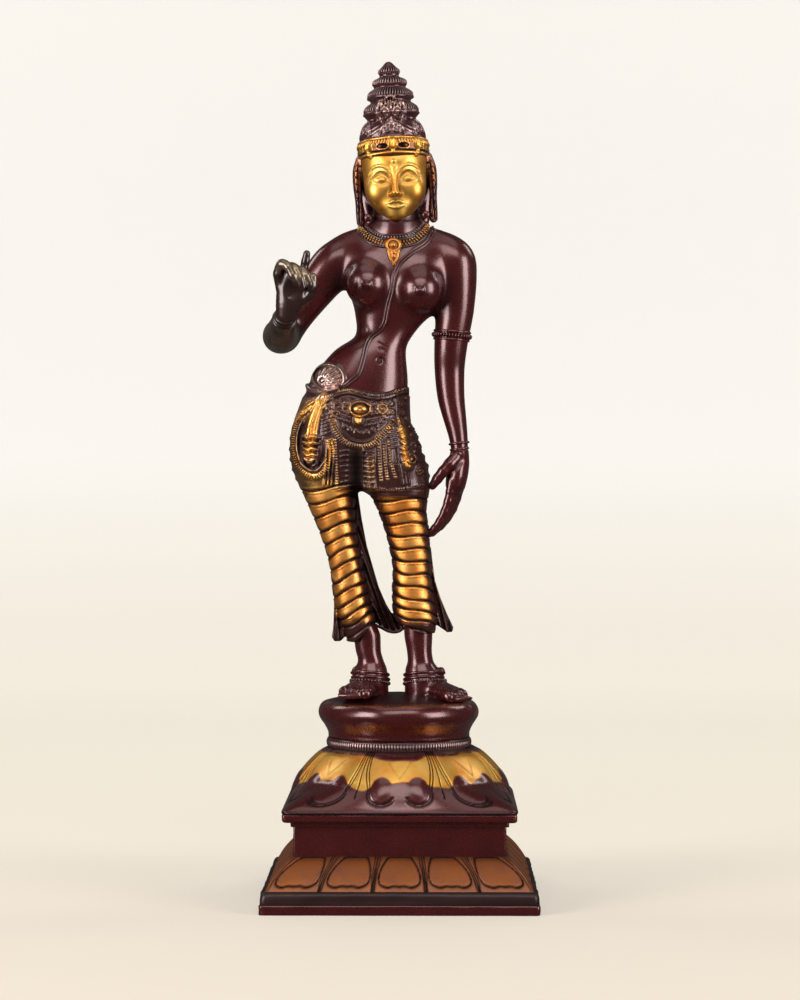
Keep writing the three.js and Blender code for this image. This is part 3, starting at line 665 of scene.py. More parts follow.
# %% A sheet of drawn heights
def turned(centre, radii, turn, angles):
    """Points on an oval about a centre, at angles in radians, with the oval turned by degrees."""
    c, s = cos(radians(turn)), sin(radians(turn))
    spots = [(radii[0] * cos(a), radii[1] * sin(a)) for a in angles]
    return [(centre[0] + p * c - q * s, centre[1] + q * c + p * s) for p, q in spots]


class Drawing:
    def __init__(self, low, high, step=0.25):
        self.low, self.step = low, step
        self.height = np.zeros([int((b - a) / step) + 2 for a, b in zip(low, high)], np.float32)

    def spot(self, low, high):
        ends = []
        for a, b, start, count in zip(low, high, self.low, self.height.shape):
            ends.append((max(int((a - start) / self.step), 0), min(int((b - start) / self.step) + 2, count)))
        (i, j), (k, m) = ends
        u = self.low[0] + np.arange(i, j) * self.step
        v = self.low[1] + np.arange(k, m) * self.step
        return (slice(i, j), slice(k, m)), u[:, None], v[None, :]

    def line(self, points, width, height, rib=0):
        """A ridge along points, or a groove when height is negative. rib cuts it into short bars."""
        pts = np.array(points, float)
        cuts, u, v = self.spot(pts.min(axis=0) - 2.2 * width, pts.max(axis=0) + 2.2 * width)
        best = np.full((u.size, v.size), 1e9)
        along = np.zeros_like(best)
        run = 0
        for a, b in zip(pts[:-1], pts[1:]):
            length = max(dist(a, b), 1e-6)
            du, dv = (b - a) / length
            t = np.clip((u - a[0]) * du + (v - a[1]) * dv, 0, length)
            d = (u - a[0] - t * du) ** 2 + (v - a[1] - t * dv) ** 2
            along = np.where(d < best, run + t, along)
            best = np.minimum(best, d)
            run += length
        shape = np.exp(-((best / (width * width)) ** 1.5))
        if rib:
            shape = shape * (0.45 + 0.55 * np.cos(along * 2 * np.pi / rib))
        self.height[cuts] += (height * shape).astype(np.float32)

    def curve(self, points, width, height, rib=0):
        self.line(smooth_path(points, 6), width, height, rib)

    def dot(self, centre, radii, height, turn=0, flat=2):
        reach = 2 * max(radii)
        cuts, u, v = self.spot([c - reach for c in centre], [c + reach for c in centre])
        c, s = cos(radians(turn)), sin(radians(turn))
        a = ((u - centre[0]) * c + (v - centre[1]) * s) / radii[0]
        b = ((v - centre[1]) * c - (u - centre[0]) * s) / radii[1]
        self.height[cuts] += (height * np.exp(-((a * a + b * b) ** flat))).astype(np.float32)

    def ring(self, centre, radii, width, height, turn=0):
        self.line(turned(centre, radii, turn, np.radians(np.linspace(0, 360, 28))), width, height)

    def scroll(self, centre, radius, width, height, start=0, way=1, turns=1.35):
        points = []
        for t in np.linspace(0, 1, 26):
            a, r = radians(start) + way * turns * 2 * pi * t, radius * (1 - 0.85 * t)
            points.append((centre[0] + r * cos(a), centre[1] + r * sin(a)))
        self.line(points, width, height)

    def at(self, u, v):
        p = np.clip((u - self.low[0]) / self.step, 0, self.height.shape[0] - 1.001)
        q = np.clip((v - self.low[1]) / self.step, 0, self.height.shape[1] - 1.001)
        i, j = p.astype(int), q.astype(int)
        s, t = p - i, q - j
        h = self.height
        low, high = [h[i, j + k] * (1 - s) + h[i + 1, j + k] * s for k in (0, 1)]
        return low * (1 - t) + high * t


# %% Places on a finished surface, found by looking at it
def surface_of(*things, side=None):
    """side is a pair of lowest and highest x, to look at one leg without the other."""
    points, faces = [], []
    for thing in things:
        base = sum(len(p) for p in points)
        points.append(corners_of(thing))
        ring = faces_of(thing)
        if side:
            x = points[-1][ring[:, 0], 0] * 1000
            ring = ring[(x > side[0]) & (x < side[1])]
        faces.append(ring + base)
    return BVHTree.FromPolygons(np.vstack(points).tolist(), np.vstack(faces).tolist())


def met(tree, start, way, lift, reach=1):
    """Where a look from start meets the surface, in metres and lifted off it, or nothing."""
    spot, normal, _, _ = tree.ray_cast(Vector(to_metres(start)), Vector(way), reach)
    return [] if spot is None else [spot + normal * (lift / 1000)]


def seen_from_front(tree, places, lift=0):
    """Points where the surface lies behind places of x and height."""
    return [spot for x, z in places for spot in met(tree, (x, -200, z), (0, 1, 0), lift)]


def seen_from_above(tree, places, lift=0):
    """Points where the surface lies below places of x and y."""
    return [spot for x, y in places for spot in met(tree, (x, y, 300), (0, 0, -1), lift)]


def around(tree, centre, axis, reach=30, lift=0, count=48, sweep=(0, 360)):
    """Points round a limb or neck, found by looking in towards its axis."""
    axis = Vector(axis).normalized()
    side = axis.cross(Vector((0, 1, 0))).normalized()
    ahead = side.cross(axis)
    found = []
    for a in np.linspace(sweep[0], sweep[1], count, endpoint=sweep[1] - sweep[0] < 360):
        spoke = side * cos(radians(a)) + ahead * sin(radians(a))
        found += met(tree, Vector(centre) + spoke * reach, -spoke, lift, reach / 1000)
    return found


# %% [markdown]
# Beads, cords and rings all follow a path over the body, so Geometry Nodes make them. One tree sets
# beads along a curve, the other draws a round cord along it. Changing a spacing or a radius is then
# one number, and every string on the figure follows.

# %% Two trees for what follows a path
def path_tree(name, **inputs):
    inputs = {"Geometry": "Geometry", **inputs, "Finish": "Material"}
    return node_group("GeometryNodeTree", name, inputs, {"Geometry": "Geometry"})


def finished(n, given, result, shape):
    """Ends a tree: one smooth mesh with its finish on."""
    last = n.chain(
        shape, ("GeometryNodeRealizeInstances", ()), ("GeometryNodeSetShadeSmooth", ()),
        ("GeometryNodeSetMaterial", {"Material": given["Finish"]}),
    )
    n.feed(result, [last])
    return n.tree


def bead_tree():
    n, given, result = path_tree("beads_on_path", Spacing="Float", Width="Float", Length="Float")
    steps = {"Curve": given["Geometry"], "Length": given["Spacing"]}
    places = n.add("GeometryNodeResampleCurve", steps, mode="LENGTH").outputs[0]
    bead = n.add("GeometryNodeMeshUVSphere", {"Segments": 8, "Rings": 5, "Radius": 0.5}).outputs["Mesh"]
    along = {"Vector": n.add("GeometryNodeInputTangent").outputs[0]}
    turn = n.add("FunctionNodeAlignRotationToVector", along, axis="X").outputs[0]
    size = n.add("ShaderNodeCombineXYZ", [given["Length"], given["Width"], given["Width"]]).outputs[0]
    laid = {"Points": places, "Instance": bead, "Rotation": turn, "Scale": size}
    return finished(n, given, result, n.add("GeometryNodeInstanceOnPoints", laid).outputs[0])


def cord_tree():
    n, given, result = path_tree("cord_on_path", Width="Float", Height="Float", Step="Float")
    steps = {"Curve": given["Geometry"], "Length": given["Step"]}
    path = n.add("GeometryNodeResampleCurve", steps, mode="LENGTH").outputs[0]
    circle = n.add("GeometryNodeCurvePrimitiveCircle", {"Resolution": 10, "Radius": 0.5}).outputs[0]
    size = n.add("ShaderNodeCombineXYZ", [given["Width"], given["Height"], 1]).outputs[0]
    section = n.add("GeometryNodeTransform", {"Geometry": circle, "Scale": size}).outputs[0]
    swept = {"Curve": path, "Profile Curve": section, "Fill Caps": True}
    return finished(n, given, result, n.add("GeometryNodeCurveToMesh", swept).outputs[0])


BEADS, CORD = bead_tree(), cord_tree()
print("path trees", BEADS.name, CORD.name)


# %% Strings: many paths become one plain mesh
def grown(name, base, tree, **sizes):
    """Puts a tree on an object, and keeps the mesh that it makes in the object's place."""
    modifier = base.modifiers.new("maker", "NODES")
    modifier.node_group = tree
    for item in tree.interface.items_tree:
        if item.in_out == "INPUT" and item.name in sizes:
            modifier[item.identifier] = sizes[item.name]
    graph = bpy.context.evaluated_depsgraph_get()
    mesh = bpy.data.meshes.new_from_object(base.evaluated_get(graph), depsgraph=graph)
    mesh.name = name
    bpy.data.objects.remove(base)
    return new_object(name, mesh)


def strung(name, tree, paths, closed=False, **sizes):
    curve = bpy.data.curves.new(name + "_path", "CURVE")
    curve.dimensions = "3D"
    for path in paths:
        spline = curve.splines.new("POLY")
        spline.points.add(len(path) - 1)
        spline.points.foreach_set("co", np.hstack([np.array(path), np.ones((len(path), 1))]).ravel())
        spline.use_cyclic_u = closed
    return grown(name, new_object(name + "_guide", curve), tree, **sizes)

# %% [markdown]
# The body leans on one hip and the shoulders lean the other way, the triple bend of the tradition.
# Its outline is a table of level sections, each with a left, right, front and back. Loops of cylinders
# would show their joints. The sections run smoothly into each other, and so do the arms at the shoulder.

# %% Torso and arms
TRUNK = [
    (292, -15, 10.4, -11.5, 10.5), (283.8, -16.6, 11.6, -11, 10.5), (281.5, -20.6, 15.5, -9.5, 11),
    (279.4, -27.4, 22.1, -9, 12), (276.2, -34, 28.6, -9.5, 13), (270, -38.6, 34.6, -11.5, 14.5),
    (258.4, -34.8, 29.4, -14.6, 16), (250.1, -30.4, 25.4, -16, 16.5), (241.8, -27.6, 22.6, -16, 16),
    (235.2, -25.7, 18.8, -15.5, 15), (229.6, -24.9, 13.8, -14.5, 13.5), (225.2, -24.3, 9.9, -13.5, 12),
    (220.8, -24.9, 6.6, -14, 12), (215.8, -32.2, 3.6, -15.5, 12.5), (212.5, -36.6, 2.8, -16.5, 13),
    (205.3, -43.1, 3.3, -18, 15), (196, -49.8, 4, -19.5, 18), (185.5, -53.8, 3.9, -20.5, 21.5),
    (175.5, -57.4, 4.2, -21, 24), (167.2, -60.3, 8.1, -21.5, 25.5), (156.7, -61, 11.6, -21.5, 25.5),
    (145.7, -59.1, 15.3, -20.5, 23), (134.7, -54.7, 16, -19, 20), (129.5, -52.5, 14.6, -18, 18.5),
]
UPPER_RIGHT_ARM = [
    (-30, 1, 266, 9.5, 10), (-36.4, 1, 261, 12, 11.8), (-43, 1, 252.4, 12, 11.5),
    (-50.3, 1.5, 242.8, 11, 10.5), (-56.6, 2.5, 234, 9.9, 9.8), (-61.4, 2.5, 226.6, 9.4, 9.4),
    (-64.6, 0.5, 221.6, 9.2, 9),
]
RIGHT_FOREARM = [
    (-65.6, 1.5, 220.2, 9.4, 9.4), (-65.4, -12, 221, 9.4, 9.4), (-63.8, -25, 225, 7.8, 7.8),
    (-62.2, -35, 228.6, 6.3, 6.1), (-61.2, -39.5, 230.6, 5.6, 5.3),
]
LEFT_ARM = [
    (26.5, 1.5, 267, 9.5, 9.5), (28.9, 1.6, 262, 12.6, 12), (30, 2, 254, 12.2, 11.8),
    (30.6, 2.4, 244, 11, 11), (30, 2.8, 233, 10.3, 10.2), (28.4, 3.2, 223, 9.9, 9.8),
    (27.3, 4, 212, 9.2, 9.3), (26.9, 5, 202, 8.6, 8.6), (27.6, 4.4, 188, 7.9, 8), (29.5, 3, 177, 6.9, 7.2),
    (31.6, 1.6, 166, 5.7, 6.4), (32.4, 1, 158, 5.1, 6), (32.4, 0.8, 154, 5, 6.4),
]
NECK = [
    (-2.6, -1, 296, 12.4, 11.6), (-2.6, -1.4, 286, 12.6, 12), (-2.6, -1.8, 279, 13.2, 12.4),
    (-2.7, -1.6, 270, 13, 12),
]
BREASTS = ((-18.2, 248.6), (10.6, 245.6))
wax = Wax((-78, -46, 152), (48, 24, 296), 0.84)
wax.join(upright(TRUNK, low=184))
wax.join(limb(NECK, steps=5), blend=2)
for x, z in BREASTS:
    wax.join(egg((x * 0.9, -8.2, z + 8), (12, 8, 14)), blend=8)
wax.join(egg((-17, 13.5, 262), (11, 4.5, 13), turn=-12), blend=4)
wax.join(egg((10, 13.5, 261), (11, 4.5, 13), turn=12), blend=4)
spine = [(-3, 17.6, 272, 1.6), (-2, 18.6, 250, 1.8), (-4, 15.4, 232, 1.8), (-16, 16.6, 205, 1.8)]
wax.cut(limb(spine), blend=3)
wax.join(limb(UPPER_RIGHT_ARM, steps=6), blend=4)
wax.join(limb(RIGHT_FOREARM, facing=(0, 0, 1), steps=9), blend=3)
wax.join(limb(LEFT_ARM, steps=6), blend=3)
wax.join(egg((-69, -4, 220.4), (6, 8, 7.4)), blend=5)
wax.soften(12)
for x, z in BREASTS:
    wax.join(egg((x, -12.2, z), (12.1, 11.6, 12.6)), blend=3.2)
wax.soften(3)
for x, z in BREASTS:
    wax.join(egg((x, -23.6, z - 1), (2.8, 0.9, 2.8)), blend=0.3)
    wax.join(egg((x, -24.2, z - 1), (1.3, 1.5, 1.3)), blend=0.3)
wax.cut(egg((-11.5, -15.2, 206.5), (1.3, 2.2, 1.6)), blend=1.2)
for points in (
    [(-12.2, -15.2, 216.4), (-9.5, -15.6, 214.6), (-7.4, -15.4, 214.2)],
    [(-11.6, -15.4, 213.4), (-9.6, -15.8, 212.2), (-7.8, -15.6, 212.4)],
):
    wax.cut(limb([(*p, 0.45) for p in points]), blend=0.6)
for z, dip in ((288.4, 1.4), (285.6, 1.8)):
    ring = []
    for a in np.linspace(-2, 2, 9):
        ring.append((-2.6 + 12.9 * sin(a), -1.4 - 12.3 * cos(a), z - dip * cos(a), 0.5))
    wax.cut(limb(ring), blend=0.8)
body, points, hollow, raised = cast("goddess_body", wax, OXBLOOD)
px, py, pz = points.T
forearm = ramp(-1, -9, py) * ramp(-48, -54, px) * ramp(262, 240, pz)
# Painted shade: the throat under the chin is darkened.
throat_shade = ramp(15, 11, np.abs(px + 2.6)) * ramp(277, 281, pz) * ramp(4, 0, py)
carry(body, "hollow", hollow + 0.06 * forearm + 0.4 * throat_shade)
carry(body, "rubbed", 0.12 * raised * (pz > 240) + 0.15 * forearm)
x, y, z = points[faces_of(body)[:, 0]].T
second_finish(body, BRONZE, (x < -50) & ((y < -9) | ((y < -2) & (z < 227))))
BODY_SURFACE = surface_of(body)

# %% [markdown]
# The right hand is raised as if it held a flower by the stem, and the left hangs with its fingers along
# the thigh. Fingers are chains of small ovals that touch, so each knuckle swells a little. They are cast
# on a finer grid than the body, because a finger is only four millimetres thick.

# %% Hands
RIGHT_PALM = [
    (-61.2, -38.6, 230.2, 5.7, 5.3), (-59.6, -40.8, 236.5, 7.4, 4.8), (-57.4, -41.6, 243.5, 9.2, 4.6),
    (-56.4, -42, 249, 9.4, 4.2),
]
RIGHT_FINGERS = [
    [
        (-64, -41, 245, 2.9), (-65.2, -43.4, 252, 2.8), (-63.2, -46.2, 257, 2.7), (-59.8, -48.4, 255.4, 2.4),
        (-57.2, -49.2, 250.6, 2.2), (-55.2, -48.8, 246.2, 1.9),
    ],
    [
        (-59.4, -42, 248, 2.8), (-58.6, -44.6, 255.2, 2.7), (-55.6, -47.4, 254.2, 2.4),
        (-53.2, -48.4, 249, 2.2), (-51.9, -48, 244.6, 1.8),
    ],
    [
        (-54, -42, 248, 2.7), (-52.9, -45, 253.6, 2.6), (-50.4, -47, 251, 2.3), (-48.4, -47.4, 246.4, 1.9),
        (-47.8, -46.6, 243.8, 1.7),
    ],
    [(-52.2, -40.6, 247, 2.6), (-51.8, -40.4, 254, 2.4), (-50.8, -40.8, 259, 2.2), (-50.1, -41.6, 263, 1.9)],
    [
        (-52.4, -41.4, 238, 3.4), (-48.6, -43.6, 241, 3), (-46.6, -45.2, 245.4, 2.4),
        (-46.2, -45.8, 250.4, 1.9),
    ],
]


def fingers(wax, rows):
    for row in rows:
        wax.join(limb(row, steps=6), blend=1)
        for x, y, z, r in row[1:-1]:
            wax.join(egg((x, y, z), (r * 1.03, r * 1.03, r * 1.03)), blend=0.8)


wax = Wax((-73, -54, 226), (-41, -31, 268), 0.5)
wax.join(limb(RIGHT_PALM))
wax.cut(egg((-56.6, -47.6, 243), (5.4, 2.6, 5.6)), blend=2)
fingers(wax, RIGHT_FINGERS)
for a, b in (((-60.8, -46, 246), (-54, -46.4, 239.4)), ((-59.4, -45.6, 239.6), (-55.6, -46.4, 244.8))):
    wax.cut(limb([(*a, 0.4), (*b, 0.4)]), blend=0.6)
right_hand, points, hollow, raised = cast("right_hand", wax, BRONZE, reach=1)
tips = ramp(240, 254, points[:, 2]) * ramp(-43, -48, points[:, 1])
carry(right_hand, "rubbed", 0.22 * tips + (0.16 + 0.5 * tips) * raised)

LEFT_PALM = [(32.4, 0.8, 156, 5.2, 6.2), (32, 0.6, 150, 5.8, 8), (31, 0, 144, 6, 9), (30.2, 0, 139, 5.6, 8.6)]
FINGER_LINE = [
    (30.6, 141.3), (29.8, 135.8), (28.4, 130.2), (26.4, 124.6), (23.6, 119.2), (20.6, 115.2), (17.6, 112.2),
]
FINGER_PLACES = [(-2.6, -5.6, 2.6, 7), (-0.4, -1.8, 2.7, 7), (1.6, 2.4, 2.6, 6), (3, 6.2, 2.3, 5)]
LEFT_THUMB = [
    (30.4, -5, 154, 3.5), (27, -6.8, 150, 3.3), (23.4, -7.6, 146, 3), (20.2, -7.2, 142, 2.8),
    (17.4, -6.4, 138, 2.2),
]
left_fingers = [LEFT_THUMB]
for dx, dy, thick, count in FINGER_PLACES:
    row = []
    for k, (x, z) in enumerate(FINGER_LINE[:count]):
        ease = 1 - 0.055 * k
        row.append((x + dx * ease, dy * ease, z + 0.12 * dy * ease, thick * (1 - 0.035 * k)))
    left_fingers.append(row)
wax = Wax((10, -15, 106), (43, 14, 160), 0.5)
wax.join(limb(LEFT_PALM, steps=6))
fingers(wax, left_fingers)
wax.cut(limb([(34.6, -7, 152, 0.5), (29.5, -8.6, 147, 0.5), (26, -8.8, 141, 0.5)]), blend=0.8)
wax.soften(1)
left_hand, points, hollow, raised = cast("left_hand", wax, OXBLOOD, reach=1)
carry(left_hand, "rubbed", 0.1 * raised)

# %% [markdown]
# The head is calm and general, on the proportions that manuals of image making give: the eyes half way
# between chin and crown of the skull, the nose a third of the face, lids half closed. It is made on the
# finest grid, upright and facing front, and only then tilted and set on the neck.

# %% Head, hair and ears
HEAD_PLACE = (-3.2, -1.5, 306.5)
HEAD_TILT = radians(-3.2)
HEAD = [
    (15, -18.2, 18.2, -17.4, 18), (8, -18.8, 18.8, -18.5, 21), (-2, -18.2, 18.2, -18.3, 22),
    (-10, -15.9, 15.9, -17.6, 19), (-16, -12.2, 12.2, -16.9, 14), (-20.5, -8, 8, -15.6, 8),
    (-22.8, -3.4, 3.4, -13.2, 3),
]


def on_neck(points):
    c, s = cos(HEAD_TILT), sin(HEAD_TILT)
    x, y, z = points.T
    return np.stack([x * c + z * s, y, z * c - x * s], axis=1) + HEAD_PLACE


def face_front(wax, x, z):
    """Where the wax begins, coming from the front at x and z."""
    (i, s), (k, t) = [divmod((v - wax.axes[a][0]) / wax.step[a], 1) for v, a in ((x, 0), (z, 2))]
    i, k = int(i), int(k)
    low, high = [wax.far[i, :, m] * (1 - s) + wax.far[i + 1, :, m] * s for m in (k, k + 1)]
    column = low * (1 - t) + high * t
    j = int(np.argmax(column < 0))
    return wax.axes[1][j] - wax.step[1] * column[j] / (column[j] - column[j - 1])


def drawn_on(wax, places, radii, lift=0):
    path = smooth_path(places, 5)
    rows = []
    for t, (x, z) in zip(np.linspace(0, 1, len(path)), path):
        r = np.interp(t, np.linspace(0, 1, len(radii)), radii)
        rows.append((x, face_front(wax, x, z) - lift, z, r))
    return limb(rows, steps=1)


wax = Wax((-28, -27, -27), (28, 26, 22), 0.46)
wax.join(upright(HEAD, power=2.15))
for s in (-1, 1):
    wax.join(egg((s * 8.6, -10.6, -6.6), (7.6, 7.4, 8.6)), blend=4)
    wax.cut(egg((s * 7.3, -20.6, -0.6), (5.8, 3.6, 3.2)), blend=2.4)
wax.join(egg((0, -13.6, -14.8), (7.2, 4.6, 5.2)), blend=3.5)
wax.join(egg((0, -13.2, -19.8), (4.6, 3.4, 3)), blend=3)
nose = [(0, -17.6, 5.2, 1.5), (0, -18.9, -1.6, 1.5), (0, -20.8, -7.6, 1.9), (0, -21.2, -8.8, 2)]
wax.join(limb(nose), blend=1.6)
for s in (-1, 1):
    wax.join(egg((s * 2.3, -18.4, -9.2), (1.5, 2.2, 1.4)), blend=1.2)
    wax.cut(egg((s * 1.5, -20.2, -10.9), (0.7, 1, 0.7)), blend=0.4)
    wax.join(egg((s * 7.3, -14.2, -1.4), (4.9, 3.5, 2.9)), blend=0.5)
for s in (-1, 1):
    brow = [(s * 1.9, 2.6), (s * 3.6, 4.6), (s * 7.4, 6.6), (s * 11.2, 5.8), (s * 14.4, 2.4)]
    upper_lid = [(s * 2.9, -2.4), (s * 4.8, -0.2), (s * 7.4, 1), (s * 10, 0.4), (s * 12.4, -1.6)]
    lower_lid = [(s * 2.9, -2.4), (s * 5.2, -3.3), (s * 7.6, -3.6), (s * 10, -2.9), (s * 12, -1.7)]
    crease = [(s * 3, -0.4), (s * 5, 1.9), (s * 7.6, 3.1), (s * 10.6, 2.2), (s * 13, -0.2)]
    wax.join(drawn_on(wax, brow, (0.5, 0.75, 0.5), -0.1), blend=0.5)
    wax.cut(drawn_on(wax, crease, (0.3, 0.45, 0.3), -0.1), blend=0.5)
    wax.join(drawn_on(wax, upper_lid, (0.35, 0.6, 0.4), -0.1), blend=0.3)
    wax.join(drawn_on(wax, lower_lid, (0.35, 0.45, 0.4), -0.1), blend=0.3)
    wax.cut(drawn_on(wax, [(s * 4.2, -2.1), (s * 7.5, -2.6), (s * 10.6, -1.9)], (0.2, 0.3, 0.2)), blend=0.3)
lips = [(-5.2, -14.4), (-3.2, -13.9), (-1.3, -13.2), (0, -13.6), (1.3, -13.2), (3.2, -13.9), (5.2, -14.4)]
wax.join(drawn_on(wax, lips, (0.45, 0.9, 1.05, 0.9, 1.05, 0.9, 0.45), -0.25), blend=0.5)
wax.join(drawn_on(wax, [(-4, -15.5), (0, -16.5), (4, -15.5)], (0.6, 1.35, 0.6), -0.4), blend=0.5)
mouth = [(-5, -14.5), (-2.4, -14.9), (0, -14.8), (2.4, -14.9), (5, -14.5)]
wax.cut(drawn_on(wax, mouth, (0.3, 0.35, 0.3), 0.1), blend=0.3)
wax.cut(drawn_on(wax, [(0, -11.2), (0, -12.6)], (0.5, 0.5), 0.1), blend=0.6)
wax.join(egg((0, face_front(wax, 0, 8.6) + 0.2, 8.6), (1.3, 0.9, 1.3)), blend=0.2)
for s in (-1, 1):
    ear = [
        (s * 18.4, 0, 12, 2.6, 4.8), (s * 20.2, -0.5, 6, 2.8, 4.8), (s * 20.8, -1, -2, 2.4, 4.2),
        (s * 20.4, -1.6, -11, 2.1, 3.6), (s * 20, -2.2, -18, 2.5, 3.6), (s * 20, -2.4, -22.5, 2.3, 3.2),
    ]
    wax.join(limb(ear), blend=1.2)
    for lift, z0, z1 in ((0, 11, -23), (2.2, 8, -20)):
        groove = [(s * (19.6 + 0.03 * (z0 - z)), -4.9 + lift, z, 0.5) for z in np.linspace(z0, z1, 8)]
        wax.cut(limb(groove), blend=0.5)
    for z in np.arange(-20, 12, 4):
        wax.cut(limb([(s * 18.6, -4.4, z, 0.35), (s * 21.4, -4.6, z + 2.4, 0.35)], steps=1), blend=0.5)
    wax.join(egg((s * 15.8, -8, -20.6), (2.3, 1.4, 2.3)), blend=0.2)
    wax.join(limb([(s * 16.5, 8, 6, 5), (s * 15.5, 10, -8, 5), (s * 13.5, 10, -22, 4.6)]), blend=2)
wax.join(egg((0, 10, -4), (17, 12.6, 18)), blend=2)
x, y, z = wax.spots()
turn = np.arctan2(x, y + 0.5)
locks = 0.45 * np.cos(turn * 22 + 0.9 * np.sin(z * 0.35)) * ramp(1.9, 1.5, np.abs(turn)) * ramp(-1, 3, y)
wax.raise_by(locks * ramp(4, 1, np.abs(wax.far)))
head, points, hollow, raised = cast("goddess_head", wax, OXBLOOD, reach=0.9)
px, py, pz = points.T
from_disc = np.linalg.norm(np.abs(points) * (1, 0, 1) - np.abs((15.8, 0, -20.6)), axis=1)
face = ramp(19, 17.2, np.abs(px)) * ramp(-4.5, -8.5, py) * ramp(-24, -22, pz) * (from_disc > 3)
ear_edge = ramp(17.4, 19, np.abs(px)) * ramp(-8, 0, pz) * ramp(-2, -4.5, py)
carry(head, "rubbed", face + (0.2 * raised + 0.2 * ear_edge) * (1 - face))
carry(head, "hollow", hollow * (1.1 + 0.3 * face))
head.data.vertices.foreach_set("co", to_metres(on_neck(points)).astype(np.float32).ravel())
head.data.update()

# %% [markdown]
# The crown is a tall stack of rims over a band, with a flame-edged leaf in front and scrolls round it.
# On a lathe it would be turned and then chased, and so it is here: a profile is read round and round,
# and a drawing of the chased pattern, unrolled flat, pushes each point in or out.

# %% Crown
CROWN_PROFILE = [
    (11, 18.6), (12.4, 19.3), (14.2, 19.5), (16, 19.2), (18.4, 19.5), (20.4, 19.2), (21.6, 18.4), (24.5, 18),
    (28.4, 16.9), (31, 15.4), (32.6, 13.8), (33.6, 13.4), (34.6, 14.2), (36.2, 15.2), (38.4, 15.3),
    (40.2, 14.5), (41.8, 12.6), (42.8, 11.2), (43.6, 11.2), (44.7, 12.2), (46, 12.8), (47.6, 12.6),
    (49.2, 11.2), (50.3, 9.4), (50.9, 8.7), (51.8, 9), (53, 9.7), (54.4, 9.5), (55.6, 8.2), (56.5, 6.2),
    (57.2, 5.3), (58.2, 5.5), (59.6, 6.2), (60.7, 5.9), (61.8, 4.7), (63, 3.4), (64.4, 2.2), (65.3, 1),
]
CROWN_ROUND, CROWN_ROWS = 312, 140
RIMS = ((38.2, 42, 52), (46.6, 49.8, 52), (53.2, 55.6, 39), (59.8, 61.4, 26))
CROWN_SPAN = pi * 18


def crown_drawing():
    """u runs round the crown in millimetres at a radius of 18, with the front at 0; v is the height."""
    d = Drawing((-CROWN_SPAN, 10), (CROWN_SPAN, 66), 0.2)
    for low, high, count in RIMS:
        for k in range(count):
            u = (2 * k + 1) / count * CROWN_SPAN - CROWN_SPAN
            d.line([(u, low), (u + 0.5, high)], 26 / count, -0.8)
    for v in (12, 20.6, 36.4, 45.2):
        d.line([(-CROWN_SPAN, v), (CROWN_SPAN, v)], 0.5, 0.5)
    d.line([(-CROWN_SPAN, 18.6), (CROWN_SPAN, 18.6)], 1, 0.75, rib=1.5)
    d.line([(-CROWN_SPAN, 13.6), (CROWN_SPAN, 13.6)], 0.3, -0.4)
    for k in range(-7, 8):
        if abs(k) > 1:
            u = k * 7.4
            d.dot((u, 15.8), (1.7, 1.2), 0.7)
            d.ring((u, 15.8), (2.6, 1.9), 0.34, 0.4)
            d.line([(u + 3.7, 14.4), (u + 3.7, 17.2)], 0.35, 0.5)
    for s in (-1, 1):
        d.dot((s * 5.6, 15.8), (3.2, 1.5), -0.35, flat=4)
        d.ring((s * 5.6, 15.8), (3.3, 1.7), 0.35, 0.35)
        d.dot((s * 6.8, 15.8), (1.3, 0.9), 0.35)
        d.dot((s * 14, 17), (2.4, 3.2), 0.9, flat=3)
        for a in range(6):
            c = radians(60 * a)
            d.dot((s * 14 + 1.5 * cos(c), 17.4 + 1.5 * sin(c)), (0.7, 0.7), 0.5)
        d.dot((s * 14, 17.4), (0.7, 0.7), 0.7)
        d.curve([(s * 14.2, 14.6), (s * 13.6, 11.6), (s * 12.6, 10.2)], 1.2, 0.8)
        d.curve([(s * 1.2, 29.6), (s * 5, 27.8), (s * 10, 25.2), (s * 15, 22.6)], 0.8, 0.6)
        d.curve([(s * 1.2, 31.2), (s * 5.4, 29.4), (s * 10.6, 27), (s * 15.4, 24.8)], 0.35, -0.5)
        d.scroll((s * 3.5, 36), 2.9, 0.62, 1.2, start=90 - s * 60, way=s)
        d.dot((s * 3.5, 36), (1, 1), 0.7)
        d.scroll((s * 8.8, 33.4), 2.9, 0.55, 0.75, start=200 if s > 0 else -20, way=-s)
        d.scroll((s * 7.2, 41), 2, 0.5, 0.6, start=0 if s > 0 else 180, way=s)
        d.curve([(s * 6.4, 31), (s * 9.6, 36.4), (s * 9, 40.4), (s * 5.2, 43.6), (0, 45.6)], 0.5, 0.9)
        for k in range(6):
            a = radians(24 + 21 * k)
            root = (s * 4.6 * cos(a), 38.2 + 3.4 * sin(a))
            d.line([root, (s * 7.8 * cos(a), 38.4 + 6.6 * sin(a))], 0.45, 0.85)
    d.dot((0, 31.2), (1.7, 1.7), 1.1)
    d.ring((0, 31.2), (2.5, 2.4), 0.4, 0.5)
    d.dot((0, 40), (1.6, 2.8), 0.7)
    d.dot((0, 17), (2, 3.4), 1, flat=3)
    d.curve([(-1.5, 21), (-0.9, 17), (0, 12.6), (0.9, 17), (1.5, 21)], 0.5, 0.6)
    for k in range(1, 6):
        u = k * CROWN_SPAN / 3 - CROWN_SPAN
        for s in (-1, 1):
            d.scroll((u + s * 3.2, 26.5), 2.6, 0.6, 0.6, start=90, way=s)
            d.curve([(u + s * 7, 23), (u + s * 4, 30), (u, 32)], 0.5, 0.45)
    return d


CROWN_MARKS = crown_drawing()


def even_turns(count):
    return np.arange(count) / count * 2 * np.pi - np.pi


